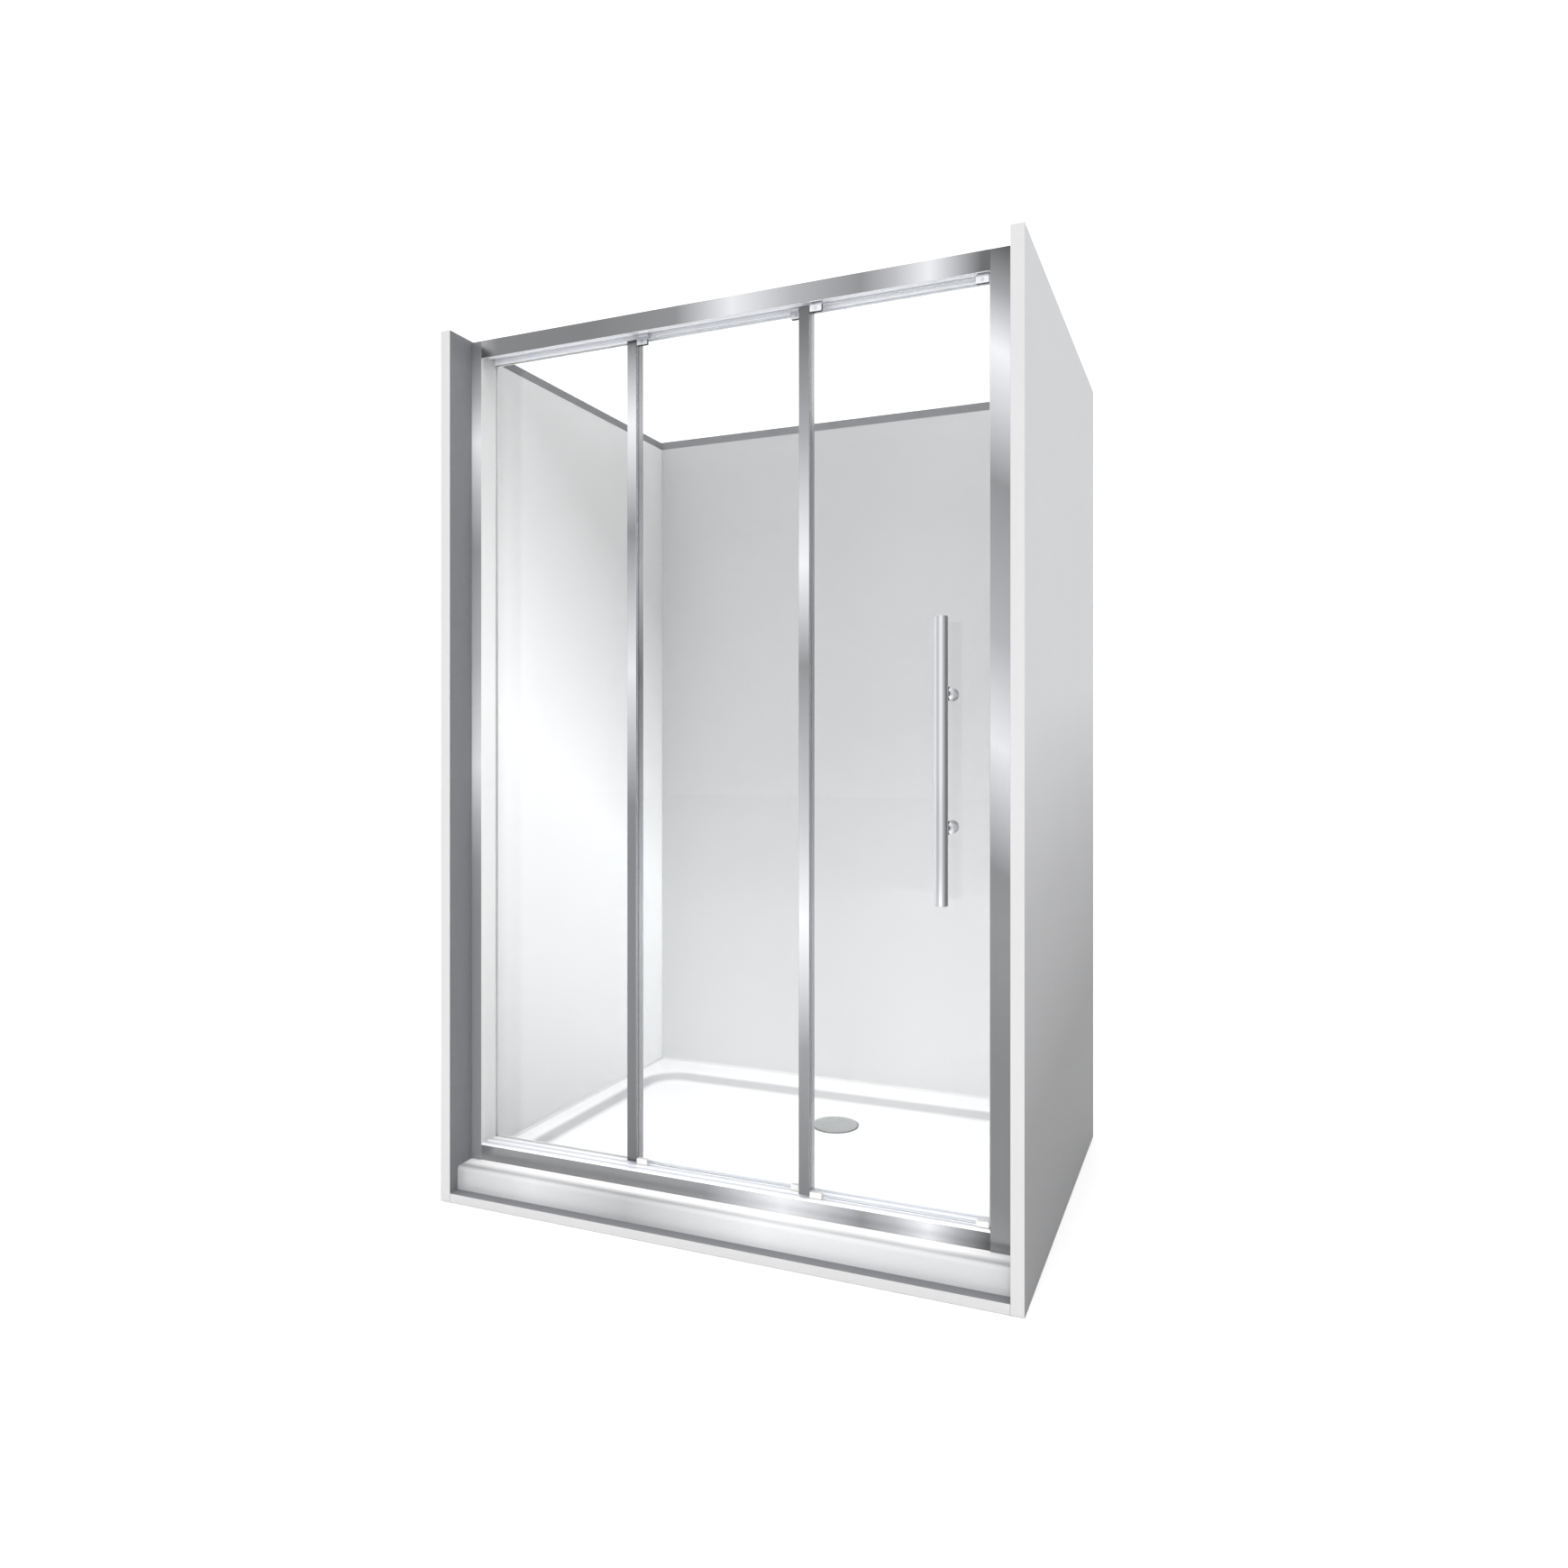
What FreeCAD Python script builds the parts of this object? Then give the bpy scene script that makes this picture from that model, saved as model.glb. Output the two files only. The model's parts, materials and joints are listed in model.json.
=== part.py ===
"""Alcove shower enclosure: tray, lined walls, track frame, one fixed and two sliding glass panels.

Units are millimetres. Z is up, X runs along the front to the right and Y from the front to the back.
The origin is the centre of the footprint, on the surface that the enclosure stands on.
"""
import FreeCAD, Part
import math
import os

import Sketcher
from FreeCAD import Vector

doc = FreeCAD.newDocument("shower_enclosure")

# --------------------------------------------------------------------------------------------------
# Driving dimensions
# --------------------------------------------------------------------------------------------------

SIZES = {
    # walls, floor panel and liners
    "outer_width": 1250.0,
    "outer_depth": 950.0,
    "outer_height": 1875.0,
    "side_thickness": 25.0,
    "back_thickness": 25.0,
    "base_thickness": 20.0,
    "liner_thickness": 5.0,
    "liner_top_gap": 18.0,
    "bead_leg": 5.0,
    # tray
    "tray_setback": 25.0,
    "tray_height": 50.0,
    "tray_edge_radius": 8.0,
    "rim_side": 40.0,
    "rim_back": 85.0,
    "rim_front": 125.0,
    "basin_depth": 22.0,
    "basin_draft": 10.0,
    "basin_corner": 90.0,
    "basin_fall": 6.0,
    "basin_edge_radius": 3.0,
    # waste
    "waste_aside": 40.0,
    "waste_from_back": 265.0,
    "waste_neck_radius": 43.0,
    "waste_wall": 3.0,
    "waste_flange_radius": 56.0,
    "waste_flange_thickness": 2.5,
    "waste_gasket": 1.0,
    "under_gasket": 1.5,
    "waste_recess_depth": 5.0,
    "waste_seat_thickness": 9.0,
    "recess_play": 3.0,
    "thread_fit": 0.15,
    "neck_play": 2.0,
    "under_play": 8.0,
    "waste_bowl_depth": 22.0,
    "tail_radius": 20.0,
    "tail_length": 14.0,
    "locknut_radius": 52.0,
    "locknut_height": 6.0,
    "cover_radius": 55.0,
    "cover_rise": 7.0,
    "cover_gap": 3.0,
    "cover_shell": 2.5,
    "cover_edge": 2.0,
    "dome_radius": 305.0,
    "skirt_radius": 38.0,
    "skirt_wall": 2.0,
    "skirt_drop": 6.0,
    "skirt_slot": 12.0,
    "cover_seat": 0.3,
    # frame and tracks
    "frame_setback": 72.0,
    "frame_top_gap": 3.0,
    "header_height": 38.0,
    "sill_height": 35.0,
    "sill_bedding": 1.5,
    "fascia_wall": 2.0,
    "profile_wall": 1.5,
    "left_jamb_width": 26.0,
    "right_jamb_width": 50.0,
    "first_track": 15.0,
    "track_pitch": 20.0,
    "glazing_slot": 12.0,
    "glazing_cover": 14.0,
    "shelf_height": 8.0,
    "shelf_thickness": 2.0,
    "shelf_to_plane": 1.5,
    "bead_radius": 1.5,
    "bead_to_plane": 4.0,
    "web_to_plane": 13.0,
    "guide_slot": 8.0,
    "guide_slot_depth": 16.0,
    "strike_depth": 16.0,
    "strike_slot": 16.0,
    "lip_reach": 3.5,
    "sill_chamfer": 3.0,
    "glazing_slot_depth": 18.0,
    "gasket_depth": 8.0,
    "channel_reach": 25.0,
    "channel_fit": 0.3,
    "leg_gap": 0.5,
    "weep_length": 8.0,
    "weep_height": 4.0,
    "weep_spacing": 280.0,
    "weep_inset": 150.0,
    "edge_round": 1.0,
    # panels
    "fixed_bay_extra": -7.0,
    "middle_bay_extra": 14.0,
    "glass_thickness": 6.0,
    "stile_width": 22.0,
    "stile_half": 5.5,
    "stile_wall": 1.5,
    "stile_cover": 16.0,
    "tip_gap": 0.4,
    "hanging_gap": 1.0,
    "standing_gap": 1.0,
    # hangers, rollers and guides
    "shoe_length": 24.0,
    "shoe_web": 3.0,
    "shoe_cheek": 12.0,
    "shoe_gap": 1.0,
    "tongue_front": 0.5,
    "tongue_thickness": 2.5,
    "tongue_boss": 7.0,
    "wheel_radius": 9.0,
    "wheel_flange": 1.2,
    "wheel_width": 6.0,
    "wheel_gap": 0.3,
    "groove_slope": 0.6,
    "axle_radius": 2.5,
    "axle_fit": 0.06,
    "axle_head_radius": 4.0,
    "axle_head": 1.5,
    "shoulder_radius": 3.5,
    "clamp_screw_radius": 2.0,
    "clamp_head_radius": 3.6,
    "clamp_head": 1.6,
    "screw_clearance": 0.15,
    "guide_cheek": 8.0,
    "guide_blade": 10.0,
    "guide_play": 1.0,
    # closing edge
    "closing_show": 3.0,
    "closing_cover": 9.0,
    "closing_wall": 4.0,
    "closing_half": 5.0,
    "magnet_thickness": 2.5,
    "magnet_half": 4.0,
    "magnet_gap": 0.5,
    # handle
    "handle_from_edge": 80.0,
    "handle_radius": 12.5,
    "handle_length": 520.0,
    "handle_height": 952.0,
    "standoff_spacing": 246.0,
    "standoff_length": 50.0,
    "neck_radius": 7.0,
    "rosette_radius": 13.0,
    "rosette_height": 6.0,
    "flare_height": 3.0,
    "knob_length": 30.0,
    "knob_radius": 12.5,
    "stud_radius": 4.0,
    "stud_clearance": 1.5,
    "stud_grip": 12.0,
    "stud_fit": 0.1,
    "socket_relief": 1.0,
    "knob_round": 3.0,
    "bar_round": 1.5,
    "saddle_fit": 0.05,
    "washer_thickness": 1.0,
    "hand_gap": 8.0,
    # travel
    "jamb_clearance": 7.0,
    "stop_gap": 1.0,
    "stop_length": 20.0,
    "stop_height": 16.0,
    # fixings
    "wall_screw_radius": 2.0,
    "wall_screw_head": 4.0,
    "wall_screw_length": 20.0,
    "wall_screw_cap": 2.0,
    "pilot_relief": 1.0,
    "fixing_inset": 150.0,
    "setting_block": 30.0,
}

# --------------------------------------------------------------------------------------------------
# Places and lengths that follow from the driving dimensions
# --------------------------------------------------------------------------------------------------

LAYOUT = {
    # walls, tray and waste
    "inner_half": "outer_width / 2 - side_thickness",
    "front_plane": "-outer_depth / 2",
    "back_inner": "outer_depth / 2 - back_thickness",
    "tray_front": "front_plane + tray_setback",
    "tray_length": "back_inner - tray_front",
    "tray_top": "base_thickness + tray_height",
    "basin_left": "-inner_half + rim_side",
    "basin_right": "inner_half - rim_side",
    "basin_rear": "tray_length - rim_back",
    "basin_bottom": "tray_height - basin_depth",
    "waste_y": "tray_length - waste_from_back",
    "ring_height": "basin_bottom - basin_fall",
    "ring_radius": "waste_flange_radius + recess_play",
    "recess_floor": "ring_height - waste_recess_depth",
    "waste_underside": "recess_floor - waste_seat_thickness",
    "flange_bottom": "base_thickness + recess_floor + waste_gasket",
    "flange_top": "flange_bottom + waste_flange_thickness",
    "bowl_bottom": "flange_bottom - waste_bowl_depth",
    "locknut_top": "base_thickness + waste_underside - under_gasket",
    "cover_bottom": "flange_top + cover_gap",
    "liner_top": "outer_height - liner_top_gap",
    "liner_height": "liner_top - tray_top",
    # frame
    "frame_front": "front_plane + frame_setback",
    "second_track": "first_track + track_pitch",
    "third_track": "second_track + track_pitch",
    "frame_depth": "third_track + glazing_slot / 2 + profile_wall",
    "frame_back": "frame_front + frame_depth",
    "frame_top": "outer_height - frame_top_gap",
    "header_bottom": "frame_top - header_height",
    "sill_bottom": "tray_top + sill_bedding",
    "sill_top": "sill_bottom + sill_height",
    "opening_left": "-inner_half + left_jamb_width",
    "opening_right": "inner_half - right_jamb_width",
    "opening_width": "opening_right - opening_left",
    "jamb_height": "frame_top - tray_top",
    "shelf_top": "shelf_height + shelf_thickness",
    "gasket_thickness": "(glazing_slot - glass_thickness) / 2",
    # planes and edges of the three panels
    "door_plane": "frame_front + first_track",
    "middle_plane": "frame_front + second_track",
    "fixed_plane": "frame_front + third_track",
    "equal_bay": "(opening_width - 2 * stile_width) / 3",
    "fixed_bay": "equal_bay + fixed_bay_extra",
    "middle_bay": "equal_bay + middle_bay_extra",
    "middle_left": "opening_left + fixed_bay",
    "fixed_right": "middle_left + stile_width",
    "door_left": "fixed_right + middle_bay",
    "middle_right": "door_left + stile_width",
    "stile_pocket": "stile_width - stile_cover",
    "glass_half": "glass_thickness / 2",
    "glass_top": "header_bottom - hanging_gap - shoe_web",
    "glass_bottom": "sill_top + standing_gap + shoe_web",
    "glass_height": "glass_top - glass_bottom",
    "closing_left": "opening_right - closing_show",
    "door_glass_right": "closing_left + closing_cover",
    "closing_right": "door_glass_right + closing_wall",
    "hook_gap": "(track_pitch - 2 * stile_half - 2 * stile_wall) / 3",
    "hook_inner": "stile_half + 2 * hook_gap + stile_wall",
    "hook_outer": "hook_inner + stile_wall",
    "hook_tip": "stile_width - stile_wall - tip_gap",
    # hangers, rollers and guides
    "shoe_inset": "stile_width + shoe_gap + shoe_length / 2",
    "middle_first_hanger": "middle_left + shoe_inset",
    "middle_last_hanger": "middle_right - shoe_inset",
    "door_first_hanger": "door_left + shoe_inset",
    "door_last_hanger": "closing_left - shoe_gap - shoe_length / 2",
    "axle_above_glass": "hanging_gap + shoe_web + shelf_top + bead_radius + wheel_gap + wheel_radius",
    "wheel_outer": "wheel_radius + wheel_flange",
    "clamp_drop": "shoe_cheek / 2",
    # handle and travel
    "middle_travel": "fixed_bay - jamb_clearance",
    "handle_x": "opening_right - handle_from_edge",
    "handle_y": "door_plane - glass_half - standoff_length",
    "door_travel": "handle_x - knob_radius - middle_right - hand_gap",
    "first_standoff": "handle_height - standoff_spacing / 2",
}


def make_sheet(name, cells):
    """Fill a sheet with one named cell per entry."""
    sheet = doc.addObject("Spreadsheet::Sheet", name)
    for row, (alias, content) in enumerate(cells.items(), start=1):
        sheet.set(f"A{row}", alias)
        sheet.set(f"B{row}", content)
        sheet.setAlias(f"B{row}", alias)
    return sheet


CELL = {name: f"Sizes.{name}" for name in SIZES}
CELL.update({name: f"Layout.{name}" for name in LAYOUT})


def formula(text):
    """Write each size name in the text as the sheet cell that holds it."""
    words = []
    for word in text.replace("(", " ( ").replace(")", " ) ").split():
        sign = "-" if word.startswith("-") and len(word) > 1 else ""
        words.append(sign + CELL.get(word[len(sign):], word[len(sign):]))
    return " ".join(words)


sizes = make_sheet("Sizes", {name: str(value) for name, value in SIZES.items()})
layout = make_sheet("Layout", {name: "=" + formula(text) for name, text in LAYOUT.items()})
doc.recompute()


def read(text):
    """Value of an expression in size names."""
    return float(layout.evalExpression(formula(text)))


# --------------------------------------------------------------------------------------------------
# Helpers: sketches, features, placement
# --------------------------------------------------------------------------------------------------

nodes = []


def bind(item, path, text):
    """Drive a property of an object by an expression in size names."""
    item.setExpression(path, formula(text))


def place(item, x="0", y="0", z="0", turned=False):
    """Put a sub-part where it belongs, turned half round about the vertical when asked."""
    if turned:
        item.Placement = FreeCAD.Placement(Vector(), FreeCAD.Rotation(Vector(0, 0, 1), 180))
    for axis, text in zip("xyz", (x, y, z)):
        bind(item, f"Placement.Base.{axis}", text)


def node(item, name):
    """Name a finished sub-part and keep it for the export."""
    item.Label = name
    nodes.append(item)
    return item


def origin_feature(body, role):
    """Origin plane or axis of a body."""
    return next(item for item in body.Origin.OriginFeatures if item.Role == role)


def sketch_on(body, plane, name, offset="0"):
    """Empty sketch on one of the body's origin planes, moved along the plane's normal."""
    sketch = body.newObject("Sketcher::SketchObject", name)
    sketch.AttachmentSupport = [(origin_feature(body, plane), "")]
    sketch.MapMode = "FlatFace"
    bind(sketch, "AttachmentOffset.Base.z", offset)
    return sketch


def fix_point(sketch, geometry, position, x, y):
    """Hold a point of the sketch at expressions measured from the sketch's origin."""
    for kind, text in (("DistanceX", x), ("DistanceY", y)):
        constraint = Sketcher.Constraint(kind, -1, 1, geometry, position, read(text))
        index = sketch.addConstraint(constraint)
        bind(sketch, f"Constraints[{index}]", text)


def hold_radius(sketch, geometry, radius):
    """Drive the radius of a circle or an arc by an expression."""
    index = sketch.addConstraint(Sketcher.Constraint("Radius", geometry, read(radius)))
    bind(sketch, f"Constraints[{index}]", radius)


def outward_arc(start, end, radius):
    """Arc between two points that bulges to the right of the way from one to the other."""
    half = (end - start) / 2
    rise = math.sqrt(radius ** 2 - half.Length ** 2)
    centre = start + half + Vector(-half.y, half.x, 0).normalize() * rise
    begin, finish = (math.atan2(point.y - centre.y, point.x - centre.x) for point in (start, end))
    return Part.ArcOfCircle(Part.Circle(centre, Vector(0, 0, 1), radius), begin, finish)


def draw_outline(sketch, points, arcs=None):
    """Closed outline through points given as pairs of expressions.

    Its edges are straight, except those listed with a radius, which bulge to the right of the way round.
    """
    radii = arcs or {}
    corners = [Vector(read(x), read(y), 0) for x, y in points]
    first = sketch.GeometryCount
    for index, corner in enumerate(corners):
        following = corners[(index + 1) % len(corners)]
        if index in radii:
            edge = outward_arc(corner, following, read(radii[index]))
        else:
            edge = Part.LineSegment(corner, following)
        sketch.addGeometry(edge, False)
    for index, (x, y) in enumerate(points):
        following = first + (index + 1) % len(points)
        sketch.addConstraint(Sketcher.Constraint("Coincident", first + index, 2, following, 1))
        fix_point(sketch, first + index, 1, x, y)
    for index, radius in radii.items():
        hold_radius(sketch, first + index, radius)


def draw_circle(sketch, x, y, radius):
    """Full circle with its centre and radius held by expressions."""
    circle = Part.Circle(Vector(read(x), read(y), 0), Vector(0, 0, 1), read(radius))
    index = sketch.addGeometry(circle, False)
    fix_point(sketch, index, 3, x, y)
    hold_radius(sketch, index, radius)


def draw_arc(sketch, before, after, centre, radius, start, sweep):
    """Arc that joins the end of one edge to the start of the next."""
    circle = Part.Circle(centre, Vector(0, 0, 1), read(radius))
    arc = sketch.addGeometry(Part.ArcOfCircle(circle, start, start + sweep), False)
    sketch.addConstraint(Sketcher.Constraint("Coincident", before, 2, arc, 1))
    sketch.addConstraint(Sketcher.Constraint("Coincident", arc, 2, after, 1))
    hold_radius(sketch, arc, radius)


def draw_rounded_rectangle(sketch, left, front, right, rear, radius):
    """Rectangle with round corners, drawn anticlockwise."""
    near_left, near_right = f"{left} + ({radius})", f"{right} - ({radius})"
    near_front, near_rear = f"{front} + ({radius})", f"{rear} - ({radius})"
    runs = [
        ((near_left, front), (near_right, front)),
        ((right, near_front), (right, near_rear)),
        ((near_right, rear), (near_left, rear)),
        ((left, near_rear), (left, near_front)),
    ]
    lines = []
    for start, end in runs:
        segment = Part.LineSegment(*(Vector(read(x), read(y), 0) for x, y in (start, end)))
        line = sketch.addGeometry(segment, False)
        fix_point(sketch, line, 1, *start)
        fix_point(sketch, line, 2, *end)
        lines.append(line)
    centres = [
        (near_right, near_front),
        (near_right, near_rear),
        (near_left, near_rear),
        (near_left, near_front),
    ]
    for index, (line, (x, y)) in enumerate(zip(lines, centres)):
        following = lines[(index + 1) % len(lines)]
        centre = Vector(read(x), read(y), 0)
        draw_arc(sketch, line, following, centre, radius, (index - 1) * math.pi / 2, math.pi / 2)


def feature(body, kind, name, sketch, **expressions):
    """Sketch-based feature whose named lengths are driven by expressions."""
    item = body.newObject(f"PartDesign::{kind}", name)
    item.Profile = sketch
    sketch.Visibility = False
    for prop, text in expressions.items():
        bind(item, prop, text)
    return item


def pad(body, name, sketch, length, midplane=False, reverse=False):
    """Extrude a sketch into a solid."""
    item = feature(body, "Pad", name, sketch, Length=length)
    item.Midplane = midplane
    item.Reversed = reverse
    return item


def pocket(body, name, sketch, length=None, reverse=False):
    """Cut a sketch into the solid by a length, or right through both ways without one."""
    if length is None:
        item = feature(body, "Pocket", name, sketch)
        item.Type = "ThroughAll"
        item.Midplane = True
        return item
    item = feature(body, "Pocket", name, sketch, Length=length)
    item.Reversed = reverse
    return item


def repeat(body, name, originals, axis, length, count):
    """Row of copies of some features along an axis of the body."""
    pattern = body.newObject("PartDesign::LinearPattern", name)
    pattern.Originals = originals
    pattern.Direction = (origin_feature(body, axis), [""])
    bind(pattern, "Length", length)
    pattern.Occurrences = count
    body.Tip = pattern
    return pattern


def ring_of(body, name, originals, count):
    """Copies of some features round the body's vertical axis."""
    pattern = body.newObject("PartDesign::PolarPattern", name)
    pattern.Originals = originals
    pattern.Axis = (origin_feature(body, "Z_Axis"), [""])
    pattern.Angle = 360
    pattern.Occurrences = count
    body.Tip = pattern
    return pattern


def new_body(name):
    return doc.addObject("PartDesign::Body", name + "_body")


def extrusion(name, plane, outlines, length, midplane=False, reverse=False):
    """Body made by extruding one or more closed outlines, the later ones being voids."""
    body = new_body(name)
    sketch = sketch_on(body, plane, name + "_section")
    for points in outlines:
        draw_outline(sketch, points)
    section = pad(body, name + "_pad", sketch, length, midplane, reverse)
    return body, section


def turned(name, plane, axis, points, arcs=None):
    """Body made by turning an outline round one of the sketch's axes."""
    body = new_body(name)
    sketch = sketch_on(body, plane, name + "_section")
    draw_outline(sketch, points, arcs)
    item = feature(body, "Revolution", name + "_turn", sketch)
    item.ReferenceAxis = (sketch, [axis])
    item.Angle = 360
    return body, item


def box(name, length, width, height, x="0", y="0", z="0"):
    """Plain rectangular piece."""
    item = doc.addObject("Part::Box", name + "_box")
    for prop, text in (("Length", length), ("Width", width), ("Height", height)):
        bind(item, prop, text)
    place(item, x, y, z)
    return item


def group(name, items):
    """Several separate solids that share one node."""
    item = doc.addObject("Part::Compound", name + "_group")
    item.Links = items
    return node(item, name)


def rectangle(left, bottom, right, top):
    """Corner points of a rectangle."""
    return [(left, bottom), (right, bottom), (right, top), (left, top)]


def round_edges(body, name, base, radius, keep):
    """Fillet the edges that the test picks."""
    doc.recompute()
    chosen = [f"Edge{index}" for index, edge in enumerate(base.Shape.Edges, start=1) if keep(edge)]
    item = body.newObject("PartDesign::Fillet", name)
    item.Base = (base, chosen)
    bind(item, "Radius", radius)
    return item


MATCH = 0.01


def upright_at(points):
    """Test for upright edges that pass through one of some plan points."""
    places = [(read(x), read(y)) for x, y in points]

    def keep(edge):
        ends = [vertex.Point for vertex in edge.Vertexes]
        if len(ends) != 2 or math.dist(ends[0][:2], ends[1][:2]) > MATCH:
            return False
        return any(math.dist(ends[0][:2], spot) < MATCH for spot in places)

    return keep


def level_at(height, front=None):
    """Test for level edges at a height: those at one front position, or else those inside the rim."""
    level = read(height)
    side_x, front_y, rear_y = read("inner_half"), read("tray_edge_radius"), read("tray_length")

    def keep(edge):
        bounds = edge.BoundBox
        if bounds.ZLength > MATCH or abs(bounds.ZMin - level) > MATCH:
            return False
        if front is not None:
            return bounds.YMax - read(front) < MATCH
        inside_x = bounds.XMin > MATCH - side_x and bounds.XMax < side_x - MATCH
        return inside_x and bounds.YMin > front_y + MATCH and bounds.YMax < rear_y - MATCH

    return keep


# --------------------------------------------------------------------------------------------------
# Walls, floor panel and liners
# --------------------------------------------------------------------------------------------------

FIXING_COUNT = 3
FIXING_SPAN = "jamb_height - 2 * fixing_inset"


def make_side_wall(name, side, screw_y):
    """Side panel with pilot holes for the screws of its wall profile."""
    body = new_body(name)
    outline = sketch_on(body, "YZ_Plane", name + "_outline")
    draw_outline(outline, rectangle("0", "0", "outer_depth", "outer_height"))
    pad(body, name + "_pad", outline, "side_thickness", reverse=side < 0)
    hole = sketch_on(body, "YZ_Plane", name + "_hole")
    draw_circle(hole, screw_y, "tray_top + fixing_inset", "wall_screw_radius + screw_clearance")
    drilled = pocket(body, name + "_pilot", hole, "wall_screw_length + pilot_relief", reverse=side > 0)
    repeat(body, name + "_pilots", [drilled], "Z_Axis", FIXING_SPAN, FIXING_COUNT)
    place(body, "-inner_half" if side < 0 else "inner_half", "front_plane")
    return node(body, name)


def make_back_wall():
    extent = "2 * inner_half", "back_thickness", "outer_height"
    return node(box("wall_panel_back", *extent, "-inner_half", "back_inner"), "wall_panel_back")


def make_base():
    """Floor panel between the walls, open round the waste and its locknut."""
    body = new_body("base_panel")
    outline = sketch_on(body, "XY_Plane", "base_outline")
    draw_outline(outline, rectangle("-inner_half", "front_plane", "inner_half", "back_inner"))
    draw_circle(outline, "waste_aside", "tray_front + waste_y", "locknut_radius + neck_play")
    pad(body, "base_pad", outline, "base_thickness")
    return node(body, "base_panel")


def make_liners():
    """Three thin wall liners that stand on the rim of the tray, behind the frame."""
    depth = "back_inner - frame_back"
    right_x = "inner_half - liner_thickness"
    for name, x in (("wall_liner_left", "-inner_half"), ("wall_liner_right", right_x)):
        node(box(name, "liner_thickness", depth, "liner_height", x, "frame_back", "tray_top"), name)
    length = "2 * inner_half - 2 * liner_thickness"
    corner = "-inner_half + liner_thickness", "back_inner - liner_thickness", "tray_top"
    node(box("wall_liner_back", length, "liner_thickness", "liner_height", *corner), "wall_liner_back")


def make_sealant():
    """Sealant beads in the corner between the liners and the tray rim."""
    run = "back_inner - liner_thickness - frame_back"
    corner = [("0", "0"), ("bead_leg", "0"), ("0", "bead_leg")]
    mirrored = [("0", "0"), ("0", "bead_leg"), ("-bead_leg", "0")]
    left, _ = extrusion("bead_left", "XZ_Plane", [corner], run, reverse=True)
    place(left, "-inner_half + liner_thickness", "frame_back", "tray_top")
    right, _ = extrusion("bead_right", "XZ_Plane", [mirrored], run, reverse=True)
    place(right, "inner_half - liner_thickness", "frame_back", "tray_top")
    span = "2 * (inner_half - liner_thickness - bead_leg)"
    back, _ = extrusion("bead_back", "YZ_Plane", [mirrored], span)
    place(back, "-inner_half + liner_thickness + bead_leg", "back_inner - liner_thickness", "tray_top")
    group("liner_sealant", [left, right, back])


# --------------------------------------------------------------------------------------------------
# Tray and waste
# --------------------------------------------------------------------------------------------------


RING_ARC_COUNT = 8
NOTCH_COUNT = 8
SKIRT_SLOT_COUNT = 6
COVER_REST_COUNT = 3


def draw_ring_of_arcs(sketch, x, y, radius, count):
    """Circle drawn as equal arcs, so that a loft can join it edge by edge."""
    sweep = 2 * math.pi / count
    centre = Vector(read(x), read(y), 0)
    first = sketch.GeometryCount
    start = -math.pi / 2 - sweep / 2
    for index in range(count):
        circle = Part.Circle(centre, Vector(0, 0, 1), read(radius))
        begin = start + index * sweep
        sketch.addGeometry(Part.ArcOfCircle(circle, begin, begin + sweep), False)
        along, across = math.cos(begin), math.sin(begin)
        start_x, start_y = f"{x} + ({radius}) * {along:.9f}", f"{y} + ({radius}) * {across:.9f}"
        fix_point(sketch, first + index, 1, start_x, start_y)
        hold_radius(sketch, first + index, radius)
    for index in range(count):
        following = first + (index + 1) % count
        sketch.addConstraint(Sketcher.Constraint("Coincident", first + index, 2, following, 1))


def make_tray():
    """Cast tray: rounded apron, drafted basin, floor falling to the waste, recess for the locknut."""
    body = new_body("shower_tray")
    slab_outline = sketch_on(body, "XY_Plane", "tray_outline")
    draw_outline(slab_outline, rectangle("-inner_half", "0", "inner_half", "tray_length"))
    slab = pad(body, "tray_slab", slab_outline, "tray_height")
    round_edges(body, "apron_rounding", slab, "tray_edge_radius", level_at("tray_height", "0"))

    rim = sketch_on(body, "XY_Plane", "basin_rim", "tray_height")
    draw_rounded_rectangle(rim, "basin_left", "rim_front", "basin_right", "basin_rear", "basin_corner")
    foot = sketch_on(body, "XY_Plane", "basin_foot", "basin_bottom")
    left_front = "basin_left + basin_draft", "rim_front + basin_draft"
    right_rear = "basin_right - basin_draft", "basin_rear - basin_draft"
    draw_rounded_rectangle(foot, *left_front, *right_rear, "basin_corner - basin_draft")
    walls = feature(body, "SubtractiveLoft", "basin_walls", rim)
    walls.Sections = [foot]
    walls.Ruled = True

    ring = sketch_on(body, "XY_Plane", "waste_ring", "ring_height")
    draw_ring_of_arcs(ring, "waste_aside", "waste_y", "ring_radius", RING_ARC_COUNT)
    fall = feature(body, "SubtractiveLoft", "basin_fall_loft", foot)
    fall.Sections = [ring]
    fall.Ruled = True
    round_edges(body, "basin_rounding", fall, "basin_edge_radius", level_at("tray_height"))

    cuts = (
        ("waste_recess", "ring_radius", "ring_height", "waste_recess_depth", False),
        ("waste_hole", "waste_neck_radius + neck_play", "ring_height", "ring_height", False),
        ("waste_underside_recess", "locknut_radius + under_play", "0", "waste_underside", True),
    )
    for name, radius, level, depth, upward in cuts:
        circle = sketch_on(body, "XY_Plane", name + "_circle", level)
        draw_circle(circle, "waste_aside", "waste_y", radius)
        pocket(body, name, circle, depth, reverse=upward)

    place(body, "0", "tray_front", "base_thickness")
    return node(body, "shower_tray")


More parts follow.
